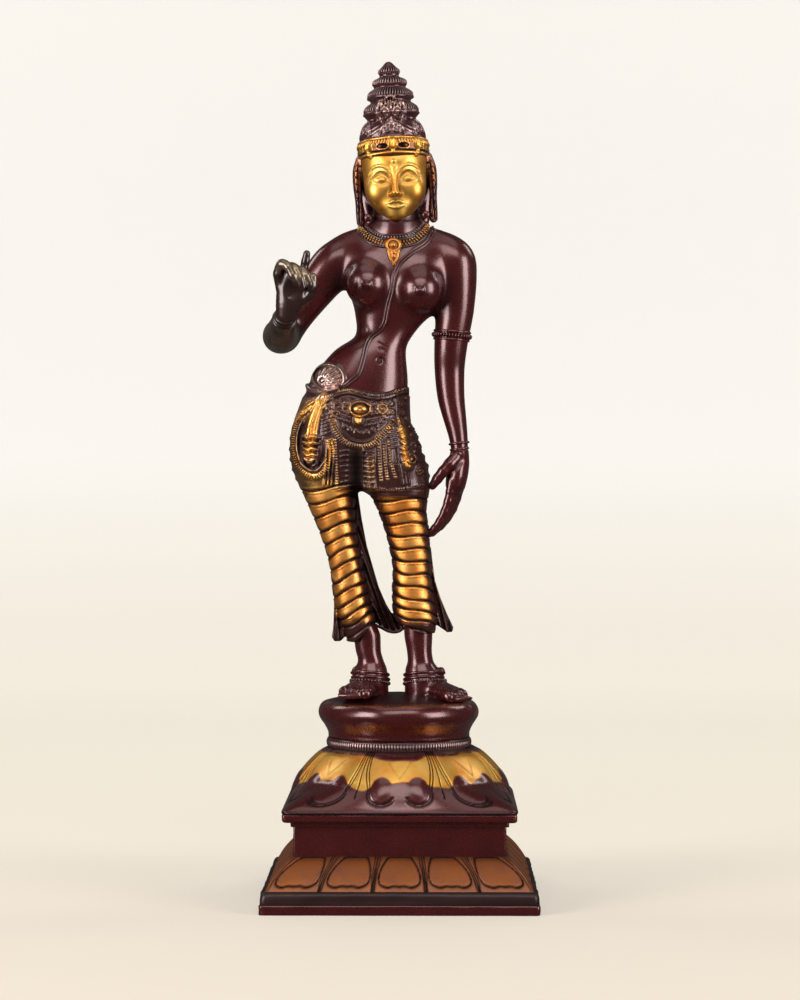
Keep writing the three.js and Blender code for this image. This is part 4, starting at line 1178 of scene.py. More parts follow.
def lathe_points(profile, turns, rows, marks, centre=(0, 0)):
    """Rings of points read from a profile of height and radius, pushed by a drawing of (u, height)."""
    table = np.array(profile, float)
    run = np.append(0, np.cumsum(np.hypot(*np.diff(table, axis=0).T)))
    fine = read_rows(np.column_stack([run, table]), np.linspace(0, run[-1], rows))
    z, r = fine[:, 0], fine[:, 1]
    slope = np.gradient(fine, axis=0)
    slope /= np.linalg.norm(slope, axis=1)[:, None]
    turn = np.asarray(turns)[:, None]
    push = marks(turn, z[None, :])
    radius = r[None, :] + push * slope[None, :, 0]
    height = z[None, :] - push * slope[None, :, 1]
    x = centre[0] + radius * np.sin(turn)
    y = centre[1] - radius * np.cos(turn)
    return np.stack([x, y, height], axis=2), push


def wrap_faces(columns, rows):
    """Four-cornered faces round a form whose points run up each column, and a cap on each end."""
    i = np.arange(columns)[:, None]
    j, k = (i + 1) % columns, np.arange(rows - 1)
    quads = np.stack([i * rows + k, j * rows + k, j * rows + k + 1, i * rows + k + 1], axis=2)
    caps = [(i[::-1, 0] * rows).tolist(), (i[:, 0] * rows + rows - 1).tolist()]
    return quads.reshape(-1, 4).tolist() + caps


def turned_piece(name, points, finish, rubbed, hollow):
    """points are in metres, as columns of rows."""
    faces = wrap_faces(*points.shape[:2])
    thing = new_mesh(name, points.reshape(-1, 3), faces)
    thing.data.materials.append(finish)
    carry(thing, "rubbed", rubbed.ravel())
    carry(thing, "hollow", hollow.ravel())
    print(name, "triangles", sum(len(face) - 2 for face in faces))
    return thing


def band_lift(turn, z):
    """The diadem rises over the brow."""
    return 1.4 * np.cos(turn) * ramp(26, 21, z)


def crown_marks(turn, z):
    return CROWN_MARKS.at(turn * CROWN_SPAN / pi, z - band_lift(turn, z))


points, push = lathe_points(CROWN_PROFILE, even_turns(CROWN_ROUND), CROWN_ROWS, crown_marks, centre=(0, 0.6))
turn, height = np.arctan2(points[:, :, 0], 0.6 - points[:, :, 1]), points[:, :, 2]
gilded = ramp(22, 20.5, height - band_lift(turn, height)) * ramp(4, -2, points[:, :, 1])
# Painted highlight: the rim bands are rubbed paler, painted sheen along the rims together with wear, leaving
# the cut ticks dark.
rim_sheen = sum(ramp(low - 0.8, low, height) * ramp(high + 0.8, high, height) for low, high, _ in RIMS)
hit = np.clip(push, 0, 1)
plain = 0.38 * hit + 0.3 * rim_sheen * np.clip(1 + 4 * push, 0, 1)
crown = turned_piece(
    "crown", to_metres(on_neck(points.reshape(-1, 3))).reshape(points.shape), WORN_AND_GLINT,
    gilded * (0.3 + 1.1 * push) + (1 - gilded) * plain,
    np.clip(-push * 1.6, 0, 1) + gilded * np.clip(0.5 - 1.6 * push, 0, 0.7),
)
low_rows = np.tile(height[0, :-1] < 22.5, CROWN_ROUND)
second_finish(crown, OXBLOOD, np.append(low_rows, [True, False]))

# %% [markdown]
# The hips carry the richest chasing: a belt with a buckle and rosettes, a ribbed apron hem, a loop of
# braid over the weight hip, a gilt sash end and a carved boss. Modelled one by one they would cost weeks.
# Drawn flat as seen from the front and pressed on, each is a line of numbers that can still be moved.

# %% The drawing on the hips
APRON = [
    (-37.4, 175.6), (-36.6, 171.4), (-34.9, 167.8), (-32, 164), (-27.7, 160.9), (-22.2, 159.4),
    (-17.9, 159.8), (-13.5, 162.2), (-9.3, 166.7), (-5.4, 170.4), (-3.4, 173.4),
]
LOOP = [
    (-55.4, 177.4), (-57.4, 173.4), (-59, 168), (-59.5, 160.4), (-58.4, 153.3), (-56, 147.9),
    (-51.6, 144.1), (-46.7, 142.7), (-42.4, 145.2), (-39.3, 150.6), (-37.9, 157.7), (-38.4, 164.1),
]
STRINGS = [
    [(-11.6, 160.6), (-11.3, 152.2), (-10.5, 141.3)], [(-8.9, 161.2), (-8.3, 151.1), (-7, 141.3)],
    [(-6.2, 162), (-5.1, 151.1), (-2.6, 142.4)], [(-35.6, 163.1), (-35, 152.2), (-34.7, 139.2)],
]


def belt(d):
    top = [
        (-43, 184), (-38, 187.5), (-33.1, 189.8), (-27.7, 190.6), (-21.1, 188.9), (-14.1, 187.5), (-7, 188.1),
        (-0.4, 190.4), (4, 192),
    ]
    d.curve(top, 1, 0.9, rib=1.15)
    d.curve([(x, z - 2) for x, z in top], 0.4, 0.45)
    d.curve([(x, z - 3) for x, z in top], 0.35, -0.45)
    d.ring((-21.9, 180), (5.6, 3.9), 0.75, 1)
    d.dot((-21.9, 180), (3.6, 2.4), 1.1, flat=3)
    d.ring((-21.9, 180), (1.5, 1.1), 0.45, 0.4)
    d.ring((-21.9, 180), (4.6, 3.1), 0.35, -0.5)
    d.dot((-22.9, 174), (2.6, 3), 1.2, flat=3)
    for k in (-1, 0, 1):
        d.line([(-22.9 + 1.4 * k, 176.2), (-22.9 + 1.7 * k, 171.4)], 0.4, 0.6)
    for place, size in (((-9.7, 180), 2.5), ((-33.6, 181), 2.4)):
        d.ring(place, (size, size), 0.55, 0.9)
        d.dot(place, (0.9, 0.9), 1)
        for a in range(0, 360, 45):
            c = radians(a)
            petal = (place[0] + 1.5 * size * cos(c), place[1] + 1.5 * size * sin(c))
            d.dot(petal, (0.7, 0.7), 0.5)
    for x, z, r, start, way in (
        (-29.2, 183.2, 1.9, 0, 1), (-28.6, 177.8, 1.7, 180, -1), (-37.6, 183.6, 1.9, 90, -1),
        (-37.4, 178.4, 1.6, 0, 1), (-15.4, 182.6, 1.9, 180, -1), (-15, 177.4, 1.7, 0, 1),
        (-5, 183.2, 1.8, 90, 1), (-4.6, 178.2, 1.7, 200, -1), (-40.6, 180.6, 1.5, 90, 1),
        (0.6, 183, 1.7, 0, 1), (0.8, 178, 1.7, 180, -1), (4, 186, 1.5, 0, 1), (4.2, 175, 1.5, 90, 1),
    ):
        d.scroll((x, z), r, 0.42, 0.7, start=start, way=way)
    for row in (
        [(-40.4, 178.6), (-38, 177.2), (-33.1, 174.8), (-27.4, 172.7)],
        [(-18.6, 171.2), (-11.3, 172.6), (-3, 175.1)],
    ):
        d.curve(row, 0.62, 0.9, rib=1.25)
        d.curve([(x, z + 1.5) for x, z in row], 0.35, 0.45)
        d.curve([(x, z + 2.6) for x, z in row], 0.35, 0.45)


def apron_hem(d):
    d.curve(APRON, 1.45, 1.15, rib=1.35)
    inner = [(x * 0.9 - 2.1, z + 2.6) for x, z in APRON[1:-1]]
    d.curve(inner, 0.5, 0.75)
    d.curve([(x * 0.88 - 2.5, z + 1.4) for x, z in inner], 0.35, -0.4)
    for k in range(7):
        x = -30.5 + 3.1 * k
        place = (x, 166.8 + 0.12 * (x + 21) ** 2 * 0.35)
        d.scroll(place, 1.25, 0.36, 0.5, start=60 * k, way=1 if k % 2 else -1)


def loop_and_sash(d):
    d.curve(LOOP, 1.5, 1.2, rib=1.3)
    d.curve([(-48.4 + (x + 48.4) * 0.79, 159.6 + (z - 159.6) * 0.8) for x, z in LOOP], 0.8, 0.9)
    d.curve([(-48.4 + (x + 48.4) * 0.66, 158.8 + (z - 158.8) * 0.68) for x, z in LOOP], 0.4, -0.5)
    d.dot((-49.6, 154.4), (5.2, 5.2), 0.8, flat=2)
    for k in range(3):
        petal = [(-53.4 + k, 152.4 - 1.4 * k), (-49.8, 149.6 - 0.6 * k), (-45.8 - 0.5 * k, 152.2 - k)]
        d.curve(petal, 0.35, -0.35)
    sash = [(-41.2, 188.8), (-43, 184.6), (-45.6, 178.6), (-47.6, 172.2), (-48.6, 166.4), (-49, 162.4)]
    d.curve(sash, 2.9, 1.6)
    for off, height, rib in ((-2.1, -0.75, 0), (0.2, -0.75, 0), (2.3, 0.55, 1.1)):
        row = [(x + off * (0.55 + 0.45 * k / 5), z + 0.3 * off) for k, (x, z) in enumerate(sash)]
        d.curve(row, 0.42, height, rib)
    for k, z in enumerate((164.2, 160.9, 157.6, 154.4)):
        w = 4.2 - 0.5 * k
        d.curve([(-49.4 - w, z + 0.9), (-50.2, z + 0.1), (-49, z + 1), (-49 + w, z + 0.3)], 1, 1.2)
        d.curve([(-49.4 - w, z - 0.8), (-50.2, z - 1.6), (-49, z - 0.7), (-49 + w, z - 1.2)], 0.4, -0.8)
    for k in range(5):
        start, end = (-57.6 + 1.9 * k, 173.2 + 1.5 * k), (-50.6 + 1.5 * k, 182.6 + 1.1 * k)
        d.curve([start, (-54.6 + 1.9 * k, 178.8 + 1.3 * k), end], 0.7, 0.8)


def carved_boss(d):
    boss = (-39.8, 197.4)
    d.dot(boss, (9.2, 7.4), 1.2, turn=-14, flat=4)
    d.ring(boss, (9, 7.3), 0.65, 1, turn=-14)
    d.ring(boss, (7.7, 6), 0.4, -0.8, turn=-14)
    d.dot((-42.8, 195.8), (1.7, 1.6), 1)
    d.ring((-42.8, 195.8), (2.8, 2.5), 0.4, 0.6)
    for k in range(8):
        a = radians(-50 + 26 * k)
        root = (-42.8 + 3.6 * cos(a), 195.8 + 3.2 * sin(a))
        d.line([root, (boss[0] + 6.9 * cos(a), boss[1] + 5.3 * sin(a))], 0.42, 0.8)
    d.curve([(-52, 193.6), (-50, 191.4), (-45.6, 189.3), (-39.6, 189.3), (-34.8, 191.2)], 1.25, 1.5)
    d.curve([(-33.6, 204.2), (-31.2, 200.2), (-30.6, 196), (-31.8, 192.6)], 1.4, 1.2)


def hanging_strings(d):
    for rows in STRINGS:
        d.curve(rows, 0.7, 1, rib=1.5)
    for k in range(3):
        row = [(-41.4 + 2 * k, 164.2 - k), (-40.6 + 2.2 * k, 155), (-41.6 + 1.9 * k, 138.4)]
        d.curve(row, 0.6, 0.6)
        d.curve([(x + 1, z) for x, z in row], 0.35, -0.5)
        d.curve([(-1.8 + 1.9 * k, 159), (-0.4 + 2 * k, 150), (1.4 + 1.8 * k, 139)], 0.5, 0.5)
    for x in (-20.2, -14.2):
        d.curve([(x, 158), (x - 0.4, 148), (x + 0.4, 136)], 0.45, 0.8)
    for k in range(8):
        z = 157 - 2.8 * k
        d.line([(-19.8, z), (-14.6, z - 0.3)], 0.38, 0.7)
        d.dot((-17.2, z - 1.4), (1.7, 0.75), 0.5, flat=3)
        d.line([(-32.4, z), (-28.8, z + 0.4)], 0.35, 0.5)
        d.line([(10.4 + 0.4 * k, z + 3), (12.4 + 0.4 * k, z + 4.6)], 0.4, 0.5)
    for k in range(6):
        d.line([(-6.4, 158.6 + 2.1 * k), (-1.6, 159.4 + 2.1 * k)], 0.42, 0.55)
        d.line([(-42.6, 166 + 2 * k), (-38.6, 167.4 + 2 * k)], 0.42, 0.5)
        d.dot((5.4 + 0.9 * k, 171 - 4.6 * k), (1, 1), 0.6)
    d.curve([(-19.5, 137.4), (-8, 136.2), (4, 136.6), (13, 138.4)], 1, 0.8, rib=1.35)


def column_and_tassel(d):
    column = [(-2.1, 190.4), (-1.2, 184.8), (-0.8, 179), (-0.5, 174), (0.9, 169.1), (2.9, 164.4)]
    d.curve(column, 0.75, 1, rib=1.3)
    tassel = [(0.9, 168.6), (2, 162.6), (2.6, 156.6), (4.3, 149)]
    d.curve(tassel, 2.2, 1.1)
    for z in (163, 160.2, 157.2, 154.4):
        d.curve([(0.2, z + 0.5), (2.4, z - 0.5), (4.6, z + 0.6)], 0.5, -0.6)
    d.scroll((6, 152.6), 3, 0.65, 1.1, start=90, way=-1)
    d.scroll((8.6, 168), 2.4, 0.45, 0.6, start=0, way=1)
    d.scroll((9.2, 160.6), 2.4, 0.45, 0.6, start=180, way=-1)
    d.scroll((11, 146), 2.4, 0.45, 0.6, start=90, way=1)


def hip_drawing():
    d = Drawing((-66, 130), (22, 212), 0.22)
    for part in (belt, apron_hem, loop_and_sash, carved_boss, hanging_strings, column_and_tassel):
        part(d)
    return d


def hip_gilding():
    """Where the chasing was rubbed to bare brass, as shares from 0 to 1."""
    d = Drawing((-66, 130), (22, 212), 0.5)
    loop = [(-55.4, 177.4), (-59, 168.6), *LOOP[3:-1], (-38, 163.1)]
    apron = [(-36.9, 174.6), (-35.3, 168.6), *APRON[3:-1]]
    d.curve([(-42.2, 186.5), (-45.6, 179.5), (-48.1, 171.8), (-49.4, 164), (-50, 155)], 3.6, 0.66)
    d.curve(loop, 2.1, 0.6)
    d.curve([(-57, 175), (-53.3, 180), (-48.9, 184.6)], 2.6, 0.55)
    d.curve(apron, 1.9, 0.36)
    d.dot((-21.9, 180), (6.2, 4.4), 0.48, flat=3)
    d.dot((-22.9, 174), (2.8, 3), 0.46, flat=3)
    d.dot((-9.7, 180), (3.6, 3.6), 0.35, flat=2)
    for rows in STRINGS:
        d.curve(rows, 1, 0.5)
    d.curve([(-0.4, 174), (0.9, 169.1), (2.2, 162.6), (2.6, 156.6), (4, 150)], 2, 0.66)
    d.dot((-16.2, 148), (2.6, 8), 0.4, flat=2)
    d.dot((-45, 139), (13, 3.4), 0.8, flat=3)
    d.dot((-52, 142.4), (6, 4.6), 0.6, flat=3)
    d.dot((0, 133.6), (12, 3), 0.5, flat=3)
    return d


HIP_MARKS, HIP_GILT = hip_drawing(), hip_gilding()

# %% [markdown]
# The wrapped cloth lies in rings of folds round each leg, pulled up toward the inside on the weight leg.
# Real folds could come from cloth simulation, but a founder's folds are ornament: a ribbon, a cut line
# that wavers and forks, a thin lip, again and again. Each crease is a height that leans and sways round
# the leg, and adding its profile to the distance field cuts the line and raises the lip below it.

# %% Legs under cloth
RIGHT_LEG = [
    (150, -60.3, -24.5, -20.5, 22), (137.4, -55.8, -24.5, -18.5, 19), (124.7, -50.3, -24.5, -16.5, 16.5),
    (112.6, -45.3, -23.6, -14.5, 14), (101, -41.4, -21.8, -13.5, 12.5), (91, -39.2, -19.6, -12.5, 12),
    (80.5, -38.1, -17.6, -12, 13.5), (69.5, -36.4, -14.6, -11.5, 14), (61, -33.6, -12.2, -11, 13),
    (57.5, -31.8, -11.8, -10.4, 12.4), (51, -29.6, -12.6, -9.6, 11.4),
]
LEFT_LEG = [
    (150, -18.5, 14.6, -20.5, 22), (137.4, -18.5, 16.2, -19, 19.5), (124.7, -13.3, 14.6, -17, 17),
    (113.7, -9.4, 16, -15, 14.5), (102.6, -6.6, 16.6, -13.8, 13), (91.6, -5, 17.1, -12.8, 12.5),
    (80.5, -5.4, 18.2, -12.3, 14), (69.5, -5.2, 19.9, -12, 14.5), (62, -2.4, 20.2, -11.5, 13),
    (59.5, -0.8, 19.7, -10.8, 12.2), (54, 1, 18.6, -9.8, 11.4),
]
HEM_LINE = [(-40, 52.6), (-24.5, 52.2), (-15.5, 62), (-8, 63), (2, 61.4), (10, 56.8), (30, 57.2)]
RIGHT_CREASES = [
    54.6, 58.7, 63.9, 68.9, 74.8, 81.4, 88.4, 95.6, 102.4, 109, 116.1, 123.4, 130.4, 137.2, 144.6,
]
LEFT_CREASES = [58.9, 64.6, 70.2, 76, 83, 90, 96.9, 103.7, 110.6, 117.3, 123.8, 130.4, 137.5, 144.6]


def fold_relief(wax, rows, creases, lean_rows, fork_side, seed):
    """The creases round one leg: how much each small cube is raised, and how far off the nearest is."""
    x, y, z = wax.spots()
    left, right, front, back = read_rows(rows, z.ravel()).T
    turn = np.arctan2(x - (left + right) / 2, -(y - (front + back) / 2 - 1)).astype(np.float32)
    level = z - np.interp(z.ravel(), *zip(*sorted(lean_rows))).astype(np.float32) * np.sin(turn)
    facing = ramp(2, 1.2, np.abs(turn))
    outward = ramp(0.1, 1, fork_side * turn)
    dice = np.random.default_rng(seed)
    relief = np.zeros(turn.shape, np.float32)
    near = np.full(turn.shape, 9, np.float32)
    for crease in creases:
        sway, phase, fork_at, width = dice.uniform((0.6, -1, 1.6, 0.5), (1.1, 1, 2.6, 0.68))
        i, j = np.searchsorted(wax.axes[2], (crease - 11, crease + 11))
        part = np.s_[:, :, i:j]
        above = level[part] - crease - sway * facing[part] * np.sin(3.4 * turn[part] + phase)
        branch = above - fork_at * outward[part]
        cut = 0.9 * hill(above, width * (1 + 0.7 * outward[part]))
        lip = 0.2 * hill(above + 1, 0.5) - 0.22 * hill(above + 1.9, 0.3)
        fork = 0.6 * outward[part] * hill(branch, 0.36)
        relief[part] += facing[part] * (lip - fork) - (0.3 + 0.7 * facing[part]) * cut
        near[part] = np.minimum(near[part], np.abs(above))
    return relief, near


def sheet(outline, front, back, round_by, pleats):
    """A hanging piece with an outline of x and height. pleats gives how far each spot sways to the back."""
    pts = np.array(outline, float)
    low, high = pts.min(axis=0) - MARGIN, pts.max(axis=0) + MARGIN

    def shape(wax):
        cuts, (x, y, z) = wax.window((low[0], front - MARGIN, low[1]), (high[0], back + MARGIN, high[1]))
        u, v = x[:, 0, :], z[0]
        best = np.full((x.size, z.size), 1e9)
        inside = np.zeros(best.shape, bool)
        for (ax, az), (bx, bz) in zip(pts, np.roll(pts, -1, axis=0)):
            dx, dz = bx - ax, bz - az
            t = np.clip(((u - ax) * dx + (v - az) * dz) / (dx**2 + dz**2), 0, 1)
            best = np.minimum(best, np.hypot(u - ax - t * dx, v - az - t * dz))
            crosses = (az > v) != (bz > v)
            inside ^= crosses & (u < ax + (v - az) / (dz or 1) * dx)
        flat = np.where(inside, -best, best)[:, None, :] + round_by
        sway = pleats(u, v)[:, None, :]
        deep = np.abs(y - (front + back) / 2 - sway) - (back - front) / 2 + round_by
        outside = np.hypot(np.maximum(flat, 0), np.maximum(deep, 0))
        return cuts, (np.minimum(np.maximum(flat, deep), 0) + outside - round_by).astype(np.float32)

    return shape


BETWEEN_LEGS = [
    (-40, 136), (-23.7, 134), (-21.5, 119), (-18.8, 105), (-12.2, 82), (-8.2, 73), (-5.2, 68), (-1, 64.5),
    (1.5, 62.5), (1.5, 58.8), (-1.8, 57.2), (-6.6, 57.6), (-11.6, 60.8), (-15, 64), (-28, 64),
]
FLYING_HEM = [
    (10, 108), (16.6, 104), (17.4, 97), (18.8, 86), (21.6, 77), (25, 68.5), (29, 60), (28.4, 57.4),
    (25.6, 57.2), (21.4, 60.2), (17, 63),
]
OUTER_CORNER = [
    (-30, 80), (-36.6, 76), (-37.2, 60), (-38, 54.8), (-36.4, 52.4), (-33, 52.6), (-30.4, 55.4), (-28, 60),
]
CLEFT = [(-23.6, -21.5, 129, 6.5), (-23.8, -22, 140, 5.6), (-24, -22.5, 149, 4), (-24, -23, 156.5, 1.8)]
LEAN_RIGHT = [(60, 5.4), (80, 5.2), (100, 4.2), (125, 3.2), (137, 2.4), (145, 1)]
LEAN_LEFT = [(60, -3.6), (75, -3.2), (90, -1.8), (110, -0.4), (130, 0.6), (145, 0.4)]


def cloth_wax(low, high, step):
    """Both clothed legs and the hips above them, each kept apart as well for the masks."""
    wax = Wax(low, high, step)
    masses = []
    for shape in (upright(RIGHT_LEG, swell=-0.3), upright(LEFT_LEG, swell=-0.3), upright(TRUNK, low=135.5)):
        wax.far = np.full_like(wax.far, 20)
        wax.join(shape)
        masses.append(wax.far)
    right, left, trunk = masses
    x, y, z = wax.spots()
    right_folds, right_near = fold_relief(wax, RIGHT_LEG, RIGHT_CREASES, LEAN_RIGHT, 1, 3)
    left_folds, left_near = fold_relief(wax, LEFT_LEG, LEFT_CREASES, LEAN_LEFT, -1, 8)
    right_folds, left_folds = right_folds * ramp(144, 139, z), left_folds * ramp(138, 133, z)
    near = np.where(right < left, right_near, left_near)
    seam = 0.3 + 6 * hill(x + 21, 8) * ramp(146, 138, z)
    wax.far = soft_join(np.minimum(right, left), trunk, seam).astype(np.float32)
    marks = 1.35 * HIP_MARKS.at(x[:, 0, :], z[0, 0, :][None, :])[:, None, :] * ramp(4.5, -3.5, y)
    marks = marks * (0.3 + 0.7 * ramp(15, 9.5, x))
    carved = (np.where(right < left, right_folds, left_folds) + marks * ramp(132, 136, z)).astype(np.float32)
    wax.raise_by(carved)
    wax.cut(limb(CLEFT), blend=6)
    return wax, right, left, carved, near


def gilded_legs(points, wax, right, left):
    """The rubbed front of each leg, with a painted highlight down its middle, as a share from 0 to 1."""
    px, py, pz = points.T
    on_right = sample(right, wax, points) < sample(left, wax, points)
    low, high = np.where(on_right, read_rows(RIGHT_LEG, pz).T[:2], read_rows(LEFT_LEG, pz).T[:2])
    across = (px - (low + high) / 2) / ((high - low) / 2)
    ragged = 0.06 * np.sin(pz * 0.9) + 0.05 * np.sin(pz * 0.37 + 2)
    edge_l, edge_r = np.where(on_right, -0.92, -0.70) + ragged, np.where(on_right, 0.70, 0.72) + ragged
    worn = ramp(edge_l - 0.2, edge_l + 0.16, across) * ramp(edge_r + 0.16, edge_r - 0.16, across)
    right_top = 0.3 * ramp(146, 141, pz) * ramp(-33, -38, px) + 0.7 * ramp(139.5, 137, pz)
    left_top = 0.1 * ramp(152, 146, pz) + 0.9 * ramp(133, 130, pz)
    top = np.where(on_right, right_top, left_top)
    # Painted highlight: the rubbing is strongest down the middle of each leg, a painted sheen down the front,
    # with a slow uneven wear laid over it.
    wear_and_middle_sheen = 0.74 + 0.30 * hill(across - 0.12, 0.5) + 0.07 * np.sin(pz * 0.83 + px * 0.2)
    return worn * wear_and_middle_sheen * top * ramp(3, -3, py) * ramp(60, 68, pz)


def between_pleats(x, z):
    """The skirt's inner fall: pleats fan down from the crotch and spread again along the hem."""
    fan = np.sin(((x + 28) * 0.92 + (z - 100) * 0.33) * 1.75) * ramp(128, 112, z) * ramp(62, 72, z)
    hem = np.sin((x + 0.42 * z) * 1.9) * ramp(74, 66, z)
    return 0.8 * fan + 1.1 * hem


def hem_pleats(x, z):
    return 0.9 * np.sin((x - 10 - (100 - z) * 0.24) * 2)


def corner_pleats(x, z):
    return 0.9 * np.sin(x * 2.2 + z * 0.2)

# %% Press the drawing onto the hips
BELT_TOP = [
    (-64, 184), (-43, 184.6), (-38, 188.2), (-33, 190.4), (-27.7, 191.4), (-21, 189.8), (-14, 188.5),
    (-7, 189), (0, 191.6), (8, 193),
]
BOSS_TOP = [
    (-64, 184), (-50, 196.5), (-45, 204.6), (-40, 206.4), (-34, 204.2), (-31, 199), (-29.4, 190), (-29.3, 0),
]
wax, right, left, carved, near = cloth_wax((-66, -28, 133.5), (22, 34, 210), (0.48, 0.88, 0.48))
x, y, z = wax.spots()
front = ramp(4.5, -3.5, y)
belt_edge = np.interp(x, *zip(*BELT_TOP)) * front + 189.5 * (1 - front)
belt = ramp(belt_edge + 0.35, belt_edge - 0.35, z) * ramp(168, 176, z)
wax.raise_by(0.75 * belt + 0.4 * ramp(176, 168, z) * ramp(141, 148, z))
back_marks = 0.6 * np.cos(np.arctan2(x + 24, y) * 26) * ramp(173, 174.5, z) * ramp(188, 186.5, z)
back_folds = 0.7 * np.cos((z - 138 - 0.35 * x) * 1.05) * ramp(172, 168, z) * ramp(137, 142, z)
wax.raise_by((back_marks + back_folds) * (1 - front))
wax.far = np.maximum(wax.far, (135.8 - z).astype(np.float32))
lid = np.maximum(np.interp(x, *zip(*BELT_TOP)), np.interp(x, *zip(*BOSS_TOP)))
lid = lid * front + 189.5 * (1 - front)
wax.raise_by(-0.9 * ramp(lid + 0.1, lid + 1.6, z))
wax.far = np.maximum(wax.far, (z - 208.6).astype(np.float32))
hips, points, hollow, raised = cast("hips_and_belt", wax, CHASED, reach=1)
px, py, pz = points.T
seen = ramp(3, -4, py)
chased = sample(carved, wax, points)
groove = np.clip(-1.5 * chased - 0.1, 0, 1)
flat = ramp(0.5, 0.05, chased) * ramp(140, 150, pz) * seen
gilt = HIP_GILT.at(px, pz) * np.clip(0.3 + 0.6 * chased, 0.05, 0.95)
raised_marks = np.clip(chased, 0, 1)
rubbed = gilt * ramp(194, 189, pz) + (0.17 + 0.3 * ramp(188, 192, pz)) * raised_marks
worn = gilded_legs(points, wax, right, left)
thigh = 0.7 * ramp(-39, -43, px) * ramp(146.5, 144, pz)
flank = 0.58 * ramp(-45, -47.5, px) * ramp(172, 175, pz) * ramp(188, 185, pz)
rubbed = np.maximum(rubbed * seen, (thigh + flank) * (0.75 + 0.25 * raised_marks) * seen)
band = 0.64 + 0.36 * ramp(0.5, 1.8, sample(near, wax, points))
carry(hips, "rubbed", np.maximum(rubbed, worn * band) * (1 - 0.7 * groove))
# Painted shade: the cleft between the thighs is painted near black.
cleft_shade = hill(px + 24, 4.5) * ramp(161, 153, pz) * seen
carry(hips, "hollow", 0.8 * hollow + groove + 0.12 * flat + 0.9 * cleft_shade)
x, y, z = points[faces_of(hips)[:, 0]].T
second_finish(hips, WORN_AND_GLINT, (z > np.interp(x, *zip(*BELT_TOP)) + 0.3) & (x < -29) & (z > 186))

# %% Press the folds into the legs
wax, right, left, carved, near = cloth_wax((-64, -25, 50), (33, 30, 140), 0.64)
x, y, z = wax.spots()
wax.far = np.maximum(wax.far, 0.8 * (np.interp(x, *zip(*HEM_LINE)) - z)).astype(np.float32)
wax.join(sheet(BETWEEN_LEGS, 2, 5, 0.8, between_pleats), blend=0.6)
wax.join(sheet(FLYING_HEM, 0.5, 3.5, 0.8, hem_pleats), blend=0.6)
wax.join(sheet(OUTER_CORNER, -3.5, 0, 0.8, corner_pleats), blend=0.6)
lip = [
    (-16.6, 2.2, 61, 0.9), (-11.8, 1.6, 60.4, 1), (-6.6, 1.4, 57.8, 1), (-1.8, 1.4, 57.6, 1),
    (1.6, 1.6, 59.6, 0.9),
]
wax.join(limb(lip), blend=0.5)
wax.far = np.maximum(wax.far, (z - 136.4).astype(np.float32))
leg_cloth, points, hollow, raised = cast("leg_cloth", wax, GILT, reach=1.2)
px, py, pz = points.T
cut_in = sample(carved, wax, points)
worn = gilded_legs(points, wax, right, left)
from_leg = np.minimum(*[np.abs(sample(leg, wax, points)) for leg in (right, left)])
off_panel = np.maximum(ramp(2.8, 1.6, from_leg), ramp(130, 134, pz))
# Painted shade: the cleft at the top of the legs is painted dark.
cleft_shade = hill(px + 24, 5) * ramp(128, 134, pz) * (py < 0)
groove = np.clip(-1.6 * cut_in - 0.15, 0, 1) * off_panel
band = 0.64 + 0.36 * ramp(0.5, 1.8, sample(near, wax, points))
carry(leg_cloth, "rubbed", worn * off_panel * band * (1 - 0.7 * groove) + 0.2 * raised * ramp(5, -2, py))
# Painted shade: the panel hanging between the legs is painted darker than the cloth beside it.
carry(leg_cloth, "hollow", 0.8 * hollow + (1 - off_panel) * 0.35 + 0.9 * cleft_shade + groove)

# %% [markdown]
# Below the hems the ankles go straight into bare feet, one to the front and one turned out. A foot is a
# heel, an arch and a ball, then five toes side by side. They stand on the round pad, and the pad's top
# is crowned, so the soles sink into it a little, as they do when wax is pressed on wax.

# %% Ankles and feet
RIGHT_SHIN = [
    (67, -28.2, -17, -7.5, 10.5), (61, -27, -13.4, -7.4, 10), (55, -26, -11.2, -7.2, 9.5),
    (47.4, -24.9, -11, -7, 9), (42, -23.7, -9.6, -7.2, 9.5), (36.9, -25.1, -7.7, -9, 11),
    (30, -26.2, -6.8, -11.5, 12.5), (22, -26.2, -6.8, -11.5, 12.5),
]
LEFT_SHIN = [
    (66, 1.4, 17.6, -7.5, 10.5), (55, 2, 17.4, -7.2, 9.5), (47.4, 3.3, 17.1, -7, 9),
    (42, 3.8, 17.8, -7.2, 9.5), (36.4, 2.5, 21, -9, 11), (30, 2.2, 23, -11.5, 11.5),
    (22, 2.2, 23, -11.5, 11.5),
]


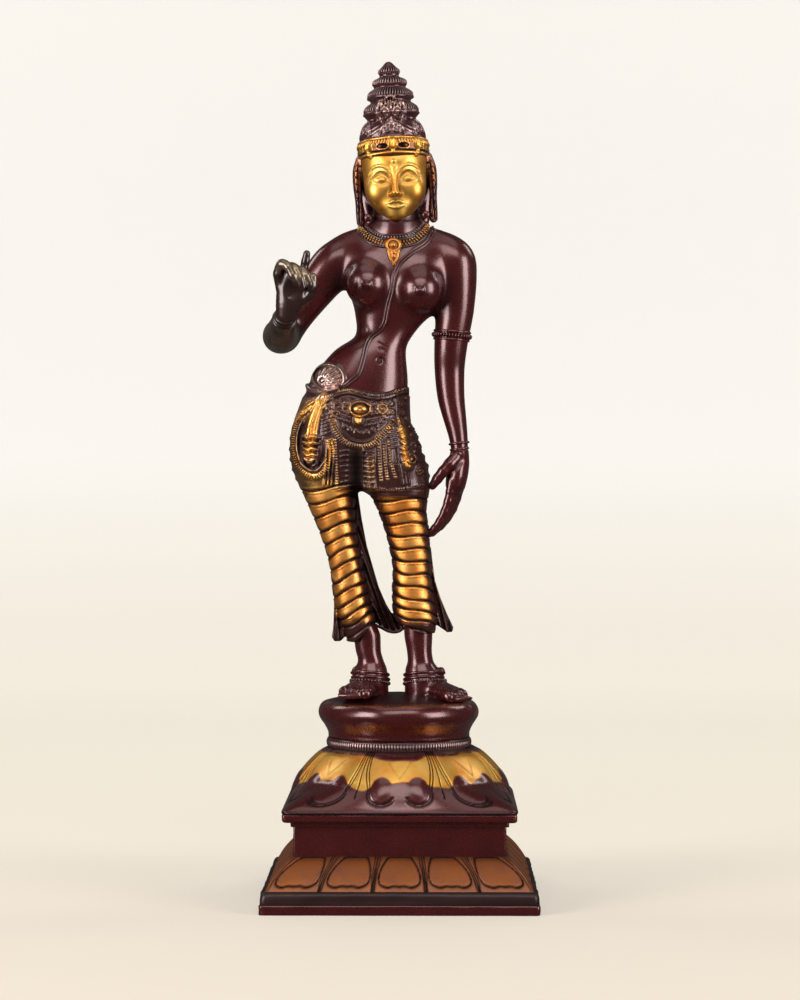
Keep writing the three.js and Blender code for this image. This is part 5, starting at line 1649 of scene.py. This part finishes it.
def foot(wax, heel, toes, ball, inner):
    """heel and toes end the sole's middle line, ball is its half width, inner the great toe's side."""
    heel, toes = Vector(heel), Vector(toes)
    side = (toes - heel).cross(Vector((0, 0, 1))).normalized() * inner

    def station(share, up, across, high):
        place = heel.lerp(toes, share)
        return (place.x, place.y, place.z + up, across, high)

    sole = [
        (0.05, 0.2, 7.4, 6), (0.22, 1.4, 8, 6.2), (0.4, 0.9, 8.6, 5.6), (0.58, 0.5, ball * 0.97, 4.8),
        (0.74, 0.3, ball, 4.2), (0.86, 0.1, ball, 3.7),
    ]
    slab = [(0, -3, 8.6, 2), (0.5, -2.6, ball + 0.8, 2), (1.02, -1.6, ball + 0.4, 1.8)]
    for rows, blend in ((sole, 3), (slab, 0.4)):
        wax.join(limb([station(*row) for row in rows], facing=(0, 0, 1)), blend=blend)
    for i in range(5):
        across = ball * (0.80 - 0.40 * i)
        thick = 3 if i == 0 else 2.35 - 0.08 * i
        rows = []
        for share, up in ((0.80, 1.4), (0.93 - 0.03 * i, 1.5), (1.03 - 0.035 * i, 0.2)):
            place = heel.lerp(toes, share) + side * across
            rows.append((place.x, place.y, place.z + up - 0.6, thick, thick))
        wax.join(limb(rows, facing=(0, 0, 1)), blend=0.5)
        tip = heel.lerp(toes, 1 - 0.035 * i) + side * across
        wax.join(egg((tip.x, tip.y, tip.z + 0.4), (thick * 1.12, thick * 1.12, thick)), blend=0.5)
        wax.cut(egg((tip.x, tip.y - 0.5, tip.z + thick * 1.5), (thick * 0.55, thick * 0.8, 0.8)), blend=0.3)


wax = Wax((-34, -36, 19), (42, 20, 64), 0.6)
wax.join(upright(RIGHT_SHIN, low=22))
wax.join(upright(LEFT_SHIN, low=22))
foot(wax, (-16.6, 9, 27), (-25.4, -28, 26), 9.2, -1)
foot(wax, (9.8, 9, 27), (31.6, -20, 23.8), 8.8, 1)
for x in (-25.2, 22.4):
    wax.join(egg((x, 1.5, 35.5), (2, 2.6, 2.6)), blend=2)
feet, points, hollow, raised = cast("feet", wax, OXBLOOD, reach=1)
carry(feet, "rubbed", 0.3 * raised * ramp(38, 32, points[:, 2]))

# %% The round pad
PAD_CENTRE = (-1, 0)
PAD_PROFILE = [
    (0, 38.2), (0.4, 39.2), (2, 39.2), (4, 39.8), (7, 41.4), (10, 43.4), (12.2, 44.3), (14.2, 44.5),
    (16.6, 43.9), (18.6, 42.7), (19.8, 41.2), (20.6, 38.6), (21.4, 35), (22.8, 26), (24, 13), (24.5, 1),
]


def pad_marks(turn, z):
    wobble = 0.35 * np.sin(turn * 3 + 0.7) + 0.25 * np.sin(turn * 5 + 2.1)
    wobble = wobble + 0.12 * np.sin(turn * 11 + z * 0.3)
    chip = 0.5 * hill(turn - 1.02, 0.1) - 0.9 * hill(turn - 1.12, 0.06)
    wobble = wobble * 0.6 * ramp(0, 12, z) * ramp(24, 18, z)
    return wobble + chip * ramp(15, 18, z) * ramp(20.6, 19, z) - 0.35


PAD_ROUND, PAD_ROWS = 160, 60
points, push = lathe_points(PAD_PROFILE, even_turns(PAD_ROUND), PAD_ROWS, pad_marks, centre=PAD_CENTRE)
x, y, z = np.moveaxis(points, 2, 0)
turn = np.arctan2(x, -y)
rim = ramp(18.2, 19.4, z) * ramp(20.6, 19.4, z)
# Painted reflection: two pale patches low on the flank stand for the floor seen in the metal; the rim is
# rubbed as wear.
floor_reflection = ramp(10, 6, z) * ramp(2, 5, z) * (hill(turn + 0.55, 0.3) + hill(turn - 0.45, 0.35))
rubbed = 0.22 * rim + 0.22 * floor_reflection + 0.36 * hill(turn - 1.35, 0.16) * hill(z - 13.5, 2.6)
# Painted shade: the top of the pad, round the feet, is darkened.
turned_piece("round_pad", to_metres(points), OXBLOOD, rubbed, 0.6 * ramp(20, 21, z))

# %% [markdown]
# The jewellery that stands free of the surface is laid on last: collar, sacred cord, armlet, bangles
# and anklets. Each path is found by looking at the finished wax, from the front or round a limb, so the
# strings lie on the body wherever the tables put it.

# %% Strings on the body
CORD_PLACES = [
    (18.2, 280.4), (16.6, 274.9), (13.3, 270.5), (8.3, 267.2), (3.3, 263.3), (-0.6, 259.5), (-2.8, 255.6),
    (-3.9, 250.6), (-5, 243.4), (-6.6, 237.9), (-7.7, 232.4), (-8.8, 226.9), (-12.1, 222.5), (-16.6, 219.1),
    (-18.8, 214.7), (-19.9, 209.8), (-21.5, 203.7), (-23.7, 198.2), (-27.6, 194.8), (-33.1, 191.5),
]
WHOLE_SURFACE = surface_of(body, hips)


def eased(path, rounds, ring=True):
    """Softens the small steps that a path picks up from the surface."""
    p = np.array(path, float)
    for _ in range(rounds):
        softer = (np.roll(p, 1, axis=0) + 2 * p + np.roll(p, -1, axis=0)) / 4
        p = softer if ring else np.vstack([p[:1], softer[1:-1], p[-1:]])
    return p


def rub(thing, values):
    carry(thing, "rubbed", values + np.zeros(len(thing.data.vertices)))


double_cord = []
for off in (-0.75, 0.75):
    middle = smooth_path(CORD_PLACES, 5)
    run = np.gradient(middle, axis=0)
    normal = np.stack([-run[:, 1], run[:, 0]], axis=1) / np.linalg.norm(run, axis=1)[:, None]
    places = seen_from_front(WHOLE_SURFACE, middle + off * normal, lift=0.25)
    double_cord.append(eased(places, 3, ring=False))
round_cord = {"Width": 0.0016, "Height": 0.0014, "Step": 0.0008, "Finish": WORN_AND_GLINT}
rub(strung("sacred_cord", CORD, double_cord, **round_cord), 0.06)


def collar_ring(reach, low, rise, lift):
    """A row of the collar: a U in front, over both shoulders, and round the nape."""
    middle = -3.9
    ahead = [(middle + reach * u, low + rise * abs(u) ** 3) for u in np.linspace(1, -1, 44)]
    ring = seen_from_front(WHOLE_SURFACE, ahead, lift)
    ring += seen_from_above(WHOLE_SURFACE, [(middle - reach * 0.985, y) for y in (-3, 0, 3)], lift)
    ring += around(WHOLE_SURFACE, (-2.6, -1.5, 282.6), (0, 0, 1), 60, lift, 28, sweep=(30, 150))
    ring += seen_from_above(WHOLE_SURFACE, [(middle + reach * 0.985, y) for y in (3, 0, -3)], lift)
    return eased(ring, 3)


# how far it reaches from the middle, height in front, rise to the shoulders, lift off the surface
COLLAR = {
    "inner": (15.8, 275.2, 8.4, 0.2), "fine": (16.5, 274.1, 8.6, 0.3), "second": (17.4, 272.7, 8.9, 0.2),
    "row": (18.3, 271.3, 9.4, 0.4), "outer": (19.4, 269.8, 9.8, 0.3), "edge": (20.4, 268.4, 10, 0.2),
}
rings = {name: collar_ring(*row) for name, row in COLLAR.items()}
plain = {"Width": 0.0011, "Height": 0.0011, "Step": 0.0013, "Finish": BRONZE}
strung("collar_cords", CORD, [rings[name] for name in ("inner", "second", "edge")], True, **plain)
discs = {"Spacing": 0.0017, "Width": 0.0024, "Length": 0.0009, "Finish": CHASED}
collar_rows = strung("collar_rows", BEADS, [rings["row"], rings["outer"]], True, **discs)
rub(collar_rows, 0.46 * ramp(2, -4, corners_of(collar_rows)[:, 1] * 1000))
fine = {"Spacing": 0.0016, "Width": 0.0017, "Length": 0.0009, "Finish": WORN_AND_GLINT}
rub(strung("collar_beads", BEADS, [rings["fine"]], True, **fine), 0.25)
print("collar ring points", {name: len(ring) for name, ring in rings.items()})

# %% Armlet, bangles and anklets
ARM_RINGS = [
    # centre, axis, lift
    ((28.2, 3.3, 223.2), (0.08, 0, 1), 0.3), ((28, 3.5, 218.8), (0.08, 0, 1), 0.3),
    ((32.1, 1.2, 161.6), (-0.12, 0, 1), 0.3), ((32.3, 1, 158.4), (-0.12, 0, 1), 0.1),
    ((-62.4, -34.2, 228.2), (0.1, -0.9, 0.42), 0.3), ((-62.1, -36, 229), (0.1, -0.9, 0.42), 0.3),
    ((-61.7, -38, 229.8), (0.1, -0.85, 0.5), 0.3),
]
arm_rings = [eased(around(BODY_SURFACE, c, a, 16, lift, 40), 2) for c, a, lift in ARM_RINGS]
bangle = {"Width": 0.0014, "Height": 0.0014, "Step": 0.001}
strung("left_bangles", CORD, arm_rings[:4], True, **bangle, Finish=OXBLOOD)
strung("right_bangles", CORD, arm_rings[4:], True, **bangle, Finish=BRONZE)
armlet_row = eased(around(BODY_SURFACE, (28.1, 3.4, 221), (0.08, 0, 1), 16, 0.4), 2)
strung("armlet", BEADS, [armlet_row], True, Spacing=0.0016, Width=0.003, Length=0.0013, Finish=OXBLOOD)
ankle_rings = {0.25: [], 0.3: []}
for x, y, lean, side in ((-16.4, 0.6, 0.06, (-99, -2.3)), (12.2, 0.4, -0.06, (-2.3, 99))):
    ankle = surface_of(feet, side=side)
    for z, lift in ((31.8, 0.25), (34.4, 0.25), (29.6, 0.3)):
        ankle_rings[lift].append(eased(around(ankle, (x, y, z), (lean, 0.15, 1), 24, lift), 3))
anklet = {"Width": 0.0019, "Height": 0.0018, "Step": 0.001, "Finish": OXBLOOD}
strung("anklets", CORD, ankle_rings[0.25], True, **anklet)
bell = {"Spacing": 0.0018, "Width": 0.002, "Length": 0.0014, "Finish": OXBLOOD}
strung("ankle_bells", BEADS, ankle_rings[0.3], True, **bell)
print("rings round limbs", len(arm_rings) + len(ankle_rings[0.25]))

# %% The pendant of the collar
wax = Wax((-13, -24, 256), (7, -8, 277), 0.4)
wax.join(egg((-3.9, -13.6, 269.8), (4.8, 2.4, 4)))
wax.join(egg((-3.9, -16.6, 269.6), (1.6, 1.6, 1.4)), blend=0.3)
leaf = [(-3.8, -14.8, 266.5, 3.4, 1.6), (-3.7, -15.2, 262.5, 2.2, 1.4), (-3.6, -15.6, 258.6, 0.8, 1)]
wax.join(limb(leaf), blend=0.6)
for s in (-1, 1):
    edge = [(-3.8 + s * 3, -15.4, 266.8, 0.6), (-3.7 + s * 2, -16.2, 262.6, 0.6), (-3.6, -16.4, 258.8, 0.6)]
    wax.join(limb(edge), blend=0.3)
for z, r in ((265.6, 0.9), (263.6, 0.7)):
    wax.join(egg((-3.75, -16.4, z), (r, r, r)), blend=0.2)
ring = []
for a in np.linspace(0, 2 * pi, 18):
    ring.append((-3.9 + 3.4 * cos(a), -16.2, 269.6 + 3 * sin(a), 0.45))
wax.join(limb(ring, steps=1), blend=0.3)
pendant, points, hollow, raised = cast("pendant", wax, GILT, reach=0.8)
carry(pendant, "rubbed", 0.25 + 0.35 * ramp(262, 268, points[:, 2]) + 0.35 * raised)

# %% [markdown]
# The plinth is a stack of courses, each one a rounded square or a round that swells or steps in. A
# moulding could be a bevelled box, but a cast one has soft, slightly wandering edges. Each course is a
# profile carried round a rounded square, with a slow waver of a tenth of a millimetre along it.

# %% Square courses
def square_ring(half, corner, per_side, per_corner):
    """Points round a rounded square, and how far along its side each lies, from -1 to 1."""
    points = []
    straight = half - corner
    for q in range(4):
        c, s = cos(q * pi / 2), sin(q * pi / 2)
        for t in np.linspace(-1, 1, per_side):
            x, y = t * straight, -half
            points.append((x * c - y * s, x * s + y * c, t, q))
        for a in np.linspace(0, pi / 2, per_corner + 2)[1:-1]:
            x, y = straight + corner * sin(a), -straight - corner * cos(a)
            points.append((x * c - y * s, x * s + y * c, 1, q))
    return np.array(points)


def waver(x, y, z, seed, size=0.12):
    dice = np.random.default_rng(seed)
    total = 0
    for k in range(6):
        a, b, c, p = dice.uniform(-1, 1, 4)
        total = total + np.sin((a * x + b * y) * 0.35 + c * z * 0.9 + p * 6) / 2.4
    return size * total


def square_course(name, profile, finish, corner, seed, size, worn, per_side=40):
    half = np.array([h for h, _ in profile])
    rows = []
    for h, z in profile:
        ring = square_ring(h, min(corner, h * 0.2), per_side, 5)
        push = waver(ring[:, 0], ring[:, 1], z, seed, size)
        spoke = ring[:, :2] / np.abs(ring[:, :2]).max(axis=1)[:, None]
        rows.append(np.column_stack([ring[:, :2] + spoke * push[:, None], np.full(len(ring), z)]))
    points = np.stack(rows, axis=1)
    edge = np.clip((half - (half.max() - 1.2)) / 1.2, 0, 1)
    at_end = np.zeros(len(profile))
    at_end[1], at_end[-2] = 1, 1
    cornered = ramp(0.985, 1, np.abs(square_ring(half.max(), corner, per_side, 5)[:, 2]))[:, None]
    rubbed = worn * (0.5 * at_end[None, :] + 0.3 * cornered * edge[None, :])
    hollow = 0.3 * (1 - edge)[None, :] * np.ones((len(points), 1))
    turned_piece(name, points * 0.001, finish, rubbed, hollow)


def rounded(half, low, high, edge, lower=None):
    """A profile of half width and height with softened edges."""
    lower = lower or edge
    profile = [(half - lower * 1.6, low)]
    for a in np.linspace(0, pi / 2, 5):
        profile.append((half - lower + lower * sin(a), low + lower - lower * cos(a)))
    for t in (0.3, 0.5, 0.7):
        profile.append((half, low + lower + t * (high - low - lower - edge)))
    for a in np.linspace(0, pi / 2, 5):
        profile.append((half - edge + edge * cos(a), high - edge + edge * sin(a)))
    profile.append((half - edge * 1.6, high))
    return profile


FOOT, ROLL, SKIRT, BLOCK, CORNICE, DOME_FOOT = 0, 5.2, 11.8, 29, 47.2, 51.4
# name, profile, finish, radius of the corners, seed and size of the waver, how much its edges are rubbed
COURSES = [
    ("foot_slab", rounded(74.3, FOOT, ROLL + 0.2, 1, 0.5), OXBLOOD, 2.2, 4, 0.15, 0.4),
    ("base_roll", rounded(73.7, ROLL - 0.4, SKIRT + 0.3, 2.6, 0.9), BLACK, 3.2, 5, 0.2, 0.1),
    ("block", rounded(56.8, BLOCK - 1.5, CORNICE + 0.6, 0.5), OXBLOOD, 1.2, 6, 0.12, 0.2),
    ("cornice_step", rounded(58.2, CORNICE - 2.6, CORNICE + 0.4, 0.4), OXBLOOD, 1.4, 9, 0.1, 0.15),
    ("cornice", rounded(62.5, CORNICE, DOME_FOOT + 0.1, 0.5, 1.6), OXBLOOD, 1.8, 7, 0.14, 0.5),
]
for course in COURSES:
    square_course(*course)

# %% [markdown]
# The flared skirt has five petals a side. Each is an outline cut with a tracer, closed below by a
# bracket, and three lines fan out between neighbours. The pattern is drawn once, for one petal, as
# shares of the side's width, so it narrows with the skirt as it rises.

# %% The petal skirt
SKIRT_PETALS = 5
SKIRT_SIDE, SKIRT_ROWS = 236, 34


def skirt_petal():
    """u is across one petal from -1 to 1, v the height from 0 to 1, both times ten."""
    d = Drawing((-10.4, -0.5), (10.4, 10.5), 0.1)
    outline = [
        (-5.6, 9.4), (-7.3, 7.4), (-8.2, 5), (-7.9, 3), (-6.6, 1.9), (-4.4, 1.4), (-2, 1.8), (0, 1.6),
    ]
    outline = outline + [(-u, v) for u, v in outline[-2::-1]]
    top = [(5.6, 9.4), (3.6, 9.8), (0, 9.9), (-3.6, 9.8), (-5.6, 9.4)]
    d.curve(outline, 0.38, -1.15)
    d.curve(top, 0.3, -0.7)
    d.curve([(u * 0.93, v * 0.93 + 0.5) for u, v in outline], 0.5, 0.2)
    for s in (-1, 1):
        d.curve([(s * 10, 10.4), (s * 9.95, 6), (s * 9.9, 3), (s * 10, 0)], 0.26, -1)
        d.curve([(s * 8.7, 10.4), (s * 9.15, 6.5), (s * 9.2, 3.4), (s * 9.5, 0)], 0.26, -1)
    return d


petal = skirt_petal()
rows = np.linspace(0, 1, SKIRT_ROWS)
along = np.linspace(-1, 1, SKIRT_SIDE + 1)[:-1, None]
across = along + 0 * rows
local = (across + 1) / 2 * SKIRT_PETALS
u = (local - np.floor(local)) * 2 - 1
push = 0.5 * petal.at(u * 10, rows * 10 + 0 * u)
push = push + 0.14 * np.clip(1 - np.abs(u / 0.8) ** 4, 0, 1) * np.sin(np.pi * np.clip(rows, 0, 0.96) ** 0.8)
push = push * ramp(1, 0.985, np.abs(across))
bulge = (142.4 + (113.6 - 142.4) * rows) / 2 + 1.6 * np.sin(np.pi * rows)
sides = []
for q in range(4):
    c, s = cos(q * pi / 2), sin(q * pi / 2)
    half = bulge + waver(across * 60 + 300 * q, 0, rows * 10, 11, 0.12) - 0.12
    x, y = across * half, -(half + push)
    sides.append(np.stack([x * c - y * s, x * s + y * c, SKIRT + rows * (BLOCK - SKIRT) + 0 * x], axis=2))
points = np.concatenate(sides)
points = np.concatenate([points[:, :1] * (1, 1, 0) + (0, 0, SKIRT - 1.2), points], axis=1)
push = np.tile(np.concatenate([push[:, :1], push], axis=1), (4, 1))
# The grooves are darkened, and the top of the skirt where it meets the block is painted darker as painted
# shade.
hollow = np.clip(-push * 2.6 - 0.1, 0, 1) + 0.5 * ramp(0.8, 1, np.append(0, rows))
turned_piece("petal_skirt", points * 0.001, AMBER, 0.1 + 0.5 * np.clip(push, -0.2, 0.3), hollow)

# %% [markdown]
# The lotus dome is turned, then chased like the crown. Eight petals meet in bundles of cut lines, and
# each petal has a pair of round buds in its lower corners with arcs about them. Its upper half is rubbed
# to bright brass and the lower half keeps its red patina, so the rubbing is a band with a ragged edge.

# %% The lotus dome
DOME_PROFILE = [
    (51.3, 61.4), (51.5, 62.8), (52.3, 63.2), (53.2, 62.8), (54.8, 61.9), (57, 61), (60, 59.9), (64, 58.2),
    (68.2, 56), (71.7, 53.4), (76, 49.4), (80, 44.8), (82.8, 39.6),
]
DOME_ROUND, DOME_ROWS, DOME_PETALS = 704, 66, 8
DOME_SPAN = pi * 58 / DOME_PETALS


def dome_petal():
    """One petal unrolled: u from its middle in millimetres at a radius of 58, v the height."""
    d = Drawing((-DOME_SPAN - 0.5, 50), (DOME_SPAN + 0.5, 84), 0.15)
    edge = DOME_SPAN
    for s in (-1, 1):
        d.dot((s * 9.8, 64.6), (4.8, 5), 0.8, turn=s * 12, flat=1.6)
        for k, r in enumerate((6.6, 7.8)):
            arc = []
            for a in np.linspace(-150 + 12 * k, 12, 14):
                c = radians(a)
                arc.append((s * (9.6 + r * cos(c)), 63 + 0.88 * r * sin(c)))
            arc += [
                (s * (edge - 5.4 + 1.7 * k), 69.5), (s * (edge - 3.9 + 1.6 * k), 75),
                (s * (edge - 3 + 1.5 * k), 83),
            ]
            d.curve(arc, 0.4, -0.75)
        d.line([(s * edge, 60), (s * edge, 83)], 0.36, -0.8)
        d.curve([(0, 70.4), (s * 4.6, 75.2), (s * 7.4, 78.6)], 0.5, -0.14)
    return d


DOME_MARKS = dome_petal()


def from_petal(turn):
    """How far a spot lies from the middle of its petal, in millimetres at a radius of 58."""
    return ((turn / (2 * np.pi) * DOME_PETALS + 0.5) % 1 - 0.5) * 2 * DOME_SPAN


def petal_marks(turn, z):
    u = from_petal(turn)
    return DOME_MARKS.at(u, z + 0 * u) * ramp(83.2, 82.4, z) * ramp(52.2, 53.4, z)


def squared(points):
    """Spreads the foot of the turned form into the corners of the square it stands on."""
    z = points[:, :, 2]
    turn = np.arctan2(points[:, :, 0], points[:, :, 1])
    spread = ramp(69, 52.8, z)
    power = 2 + 24 * spread**1.5
    corner = (np.abs(np.cos(turn)) ** power + np.abs(np.sin(turn)) ** power) ** (-1 / power)
    grow = 1 + spread * (corner - 1)
    return points * np.stack([grow, grow, np.ones_like(grow)], axis=2)


share = np.arange(DOME_ROUND) / DOME_ROUND * DOME_PETALS
turns = (share + 0.07 * np.sin(2 * np.pi * share)) / DOME_PETALS * 2 * np.pi - np.pi
points, push = lathe_points(DOME_PROFILE, turns, DOME_ROWS, petal_marks)
x, y, height = np.moveaxis(points, 2, 0)
turn = np.arctan2(x, -y)
rag = 0.8 * np.sin(turn * 7 + 1) + 0.6 * np.sin(turn * 13 + 2.4) + 0.5 * np.sin(turn * 23)
across = np.abs(from_petal(turn))
low_edge = 67.4 + rag * 0.8 - 2.4 * ramp(13, 20, across)
high_edge = 80.6 + rag * 0.35 - 2.6 * ramp(0.36, 0.12, np.abs(turn))
bright = ramp(low_edge - 0.9, low_edge + 0.9, height)
bright = bright * ramp(high_edge + 1.1, high_edge - 0.5, height)
bud = ramp(1.25, 0.95, np.hypot((across - 9.8) / 5.2, (height - 64.6) / 5.6))
dark = 0.7 * ramp(54.5, 52.5, height) + 0.6 * ramp(81.4, 82.6, height)
dark = np.clip(-push * 1.5, 0, 1) + dark
turned_piece("lotus_dome", squared(points) * 0.001, OXBLOOD, 0.8 * bright * (1 - bud), dark)

# %% [markdown]
# Between the dome and the pad runs a narrow ring with upright flutes. It is one rule repeated round a
# circle, so a node tree makes it: a strip of faces is bent round, and a wave cuts the flutes.

# %% The fluted ring
RING = {
    "Radius": 0.0400, "Foot": 0.0822, "Height": 0.0057, "Swell": 0.0014, "Flute Depth": 0.0009,
    "Aside": -0.0010,
}


def ring_tree():
    n, given, result = path_tree("fluted_ring", **dict.fromkeys(RING, "Float"), Flutes="Int")
    columns = n.math("MULTIPLY_ADD", given["Flutes"], 4, 1)
    strip = n.add("GeometryNodeMeshGrid", {"Size X": 1, "Size Y": 1, "Vertices X": columns, "Vertices Y": 12})
    place = n.add("ShaderNodeSeparateXYZ", [n.add("GeometryNodeInputPosition").outputs[0]]).outputs
    angle, rise = n.math("MULTIPLY", place["X"], 2 * pi), n.math("ADD", place["Y"], 0.5)
    belly = n.math("MAXIMUM", n.math("SINE", n.math("MULTIPLY", rise, pi)), 0)
    belly = n.math("POWER", belly, 0.6)
    ribbed = n.math("MULTIPLY", n.math("LESS_THAN", rise, 0.8), n.math("GREATER_THAN", rise, 0.16))
    wave = n.math("COSINE", n.math("MULTIPLY", angle, given["Flutes"]))
    wave = n.math("MULTIPLY_ADD", wave, 0.5, -0.5)
    flute = n.math("MULTIPLY", n.math("MULTIPLY", wave, ribbed), given["Flute Depth"])
    radius = n.math("MULTIPLY_ADD", belly, given["Swell"], given["Radius"])
    radius = n.math("ADD", n.math("SUBTRACT", radius, given["Swell"]), flute)
    x = n.math("ADD", n.math("MULTIPLY", radius, n.math("SINE", angle)), given["Aside"])
    y = n.math("MULTIPLY", radius, n.math("MULTIPLY", n.math("COSINE", angle), -1))
    z = n.math("MULTIPLY_ADD", rise, given["Height"], given["Foot"])
    bent = {"Position": n.add("ShaderNodeCombineXYZ", [x, y, z]).outputs[0]}
    closed = {"Distance": 0.00002}
    steps = ("GeometryNodeSetPosition", bent), ("GeometryNodeMergeByDistance", closed)
    return finished(n, given, result, n.chain(strip.outputs["Mesh"], *steps))


blank = new_object("ring_blank", bpy.data.meshes.new("ring_blank"))
ring = grown("fluted_ring", blank, ring_tree(), **RING, Flutes=150, Finish=WORN_AND_GLINT)
x, y, z = corners_of(ring).T * 1000
rib = ramp(39.4, 39.9, np.hypot(x + 1, y)) * ramp(82.8, 83.4, z) * ramp(87.2, 86.6, z)
# Painted highlight: the outer faces of the flutes are rubbed pale as painted glints, with some wear; off them
# the ring is kept darker.
carry(ring, "rubbed", 0.5 * rib)
carry(ring, "hollow", 0.3 * (1 - rib))
print("fluted ring faces", len(ring.data.polygons))

# %% [markdown]
# Last, every piece is hung on the frame's root body, and the measured part that it dresses, the plinth
# or the figure, is hidden.

# %% Hand the pieces to the frame
PLINTH_PIECES = {course[0] for course in COURSES} | {"petal_skirt", "lotus_dome", "fluted_ring"}
for thing in list(bpy.data.objects):
    if thing.type != "MESH" or thing.name == "studio_sweep" or thing.name in frame["nodes"]:
        continue
    of_plinth = thing.name in PLINTH_PIECES
    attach(thing, "root")
    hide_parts("lotus_plinth" if of_plinth else "goddess_figure")
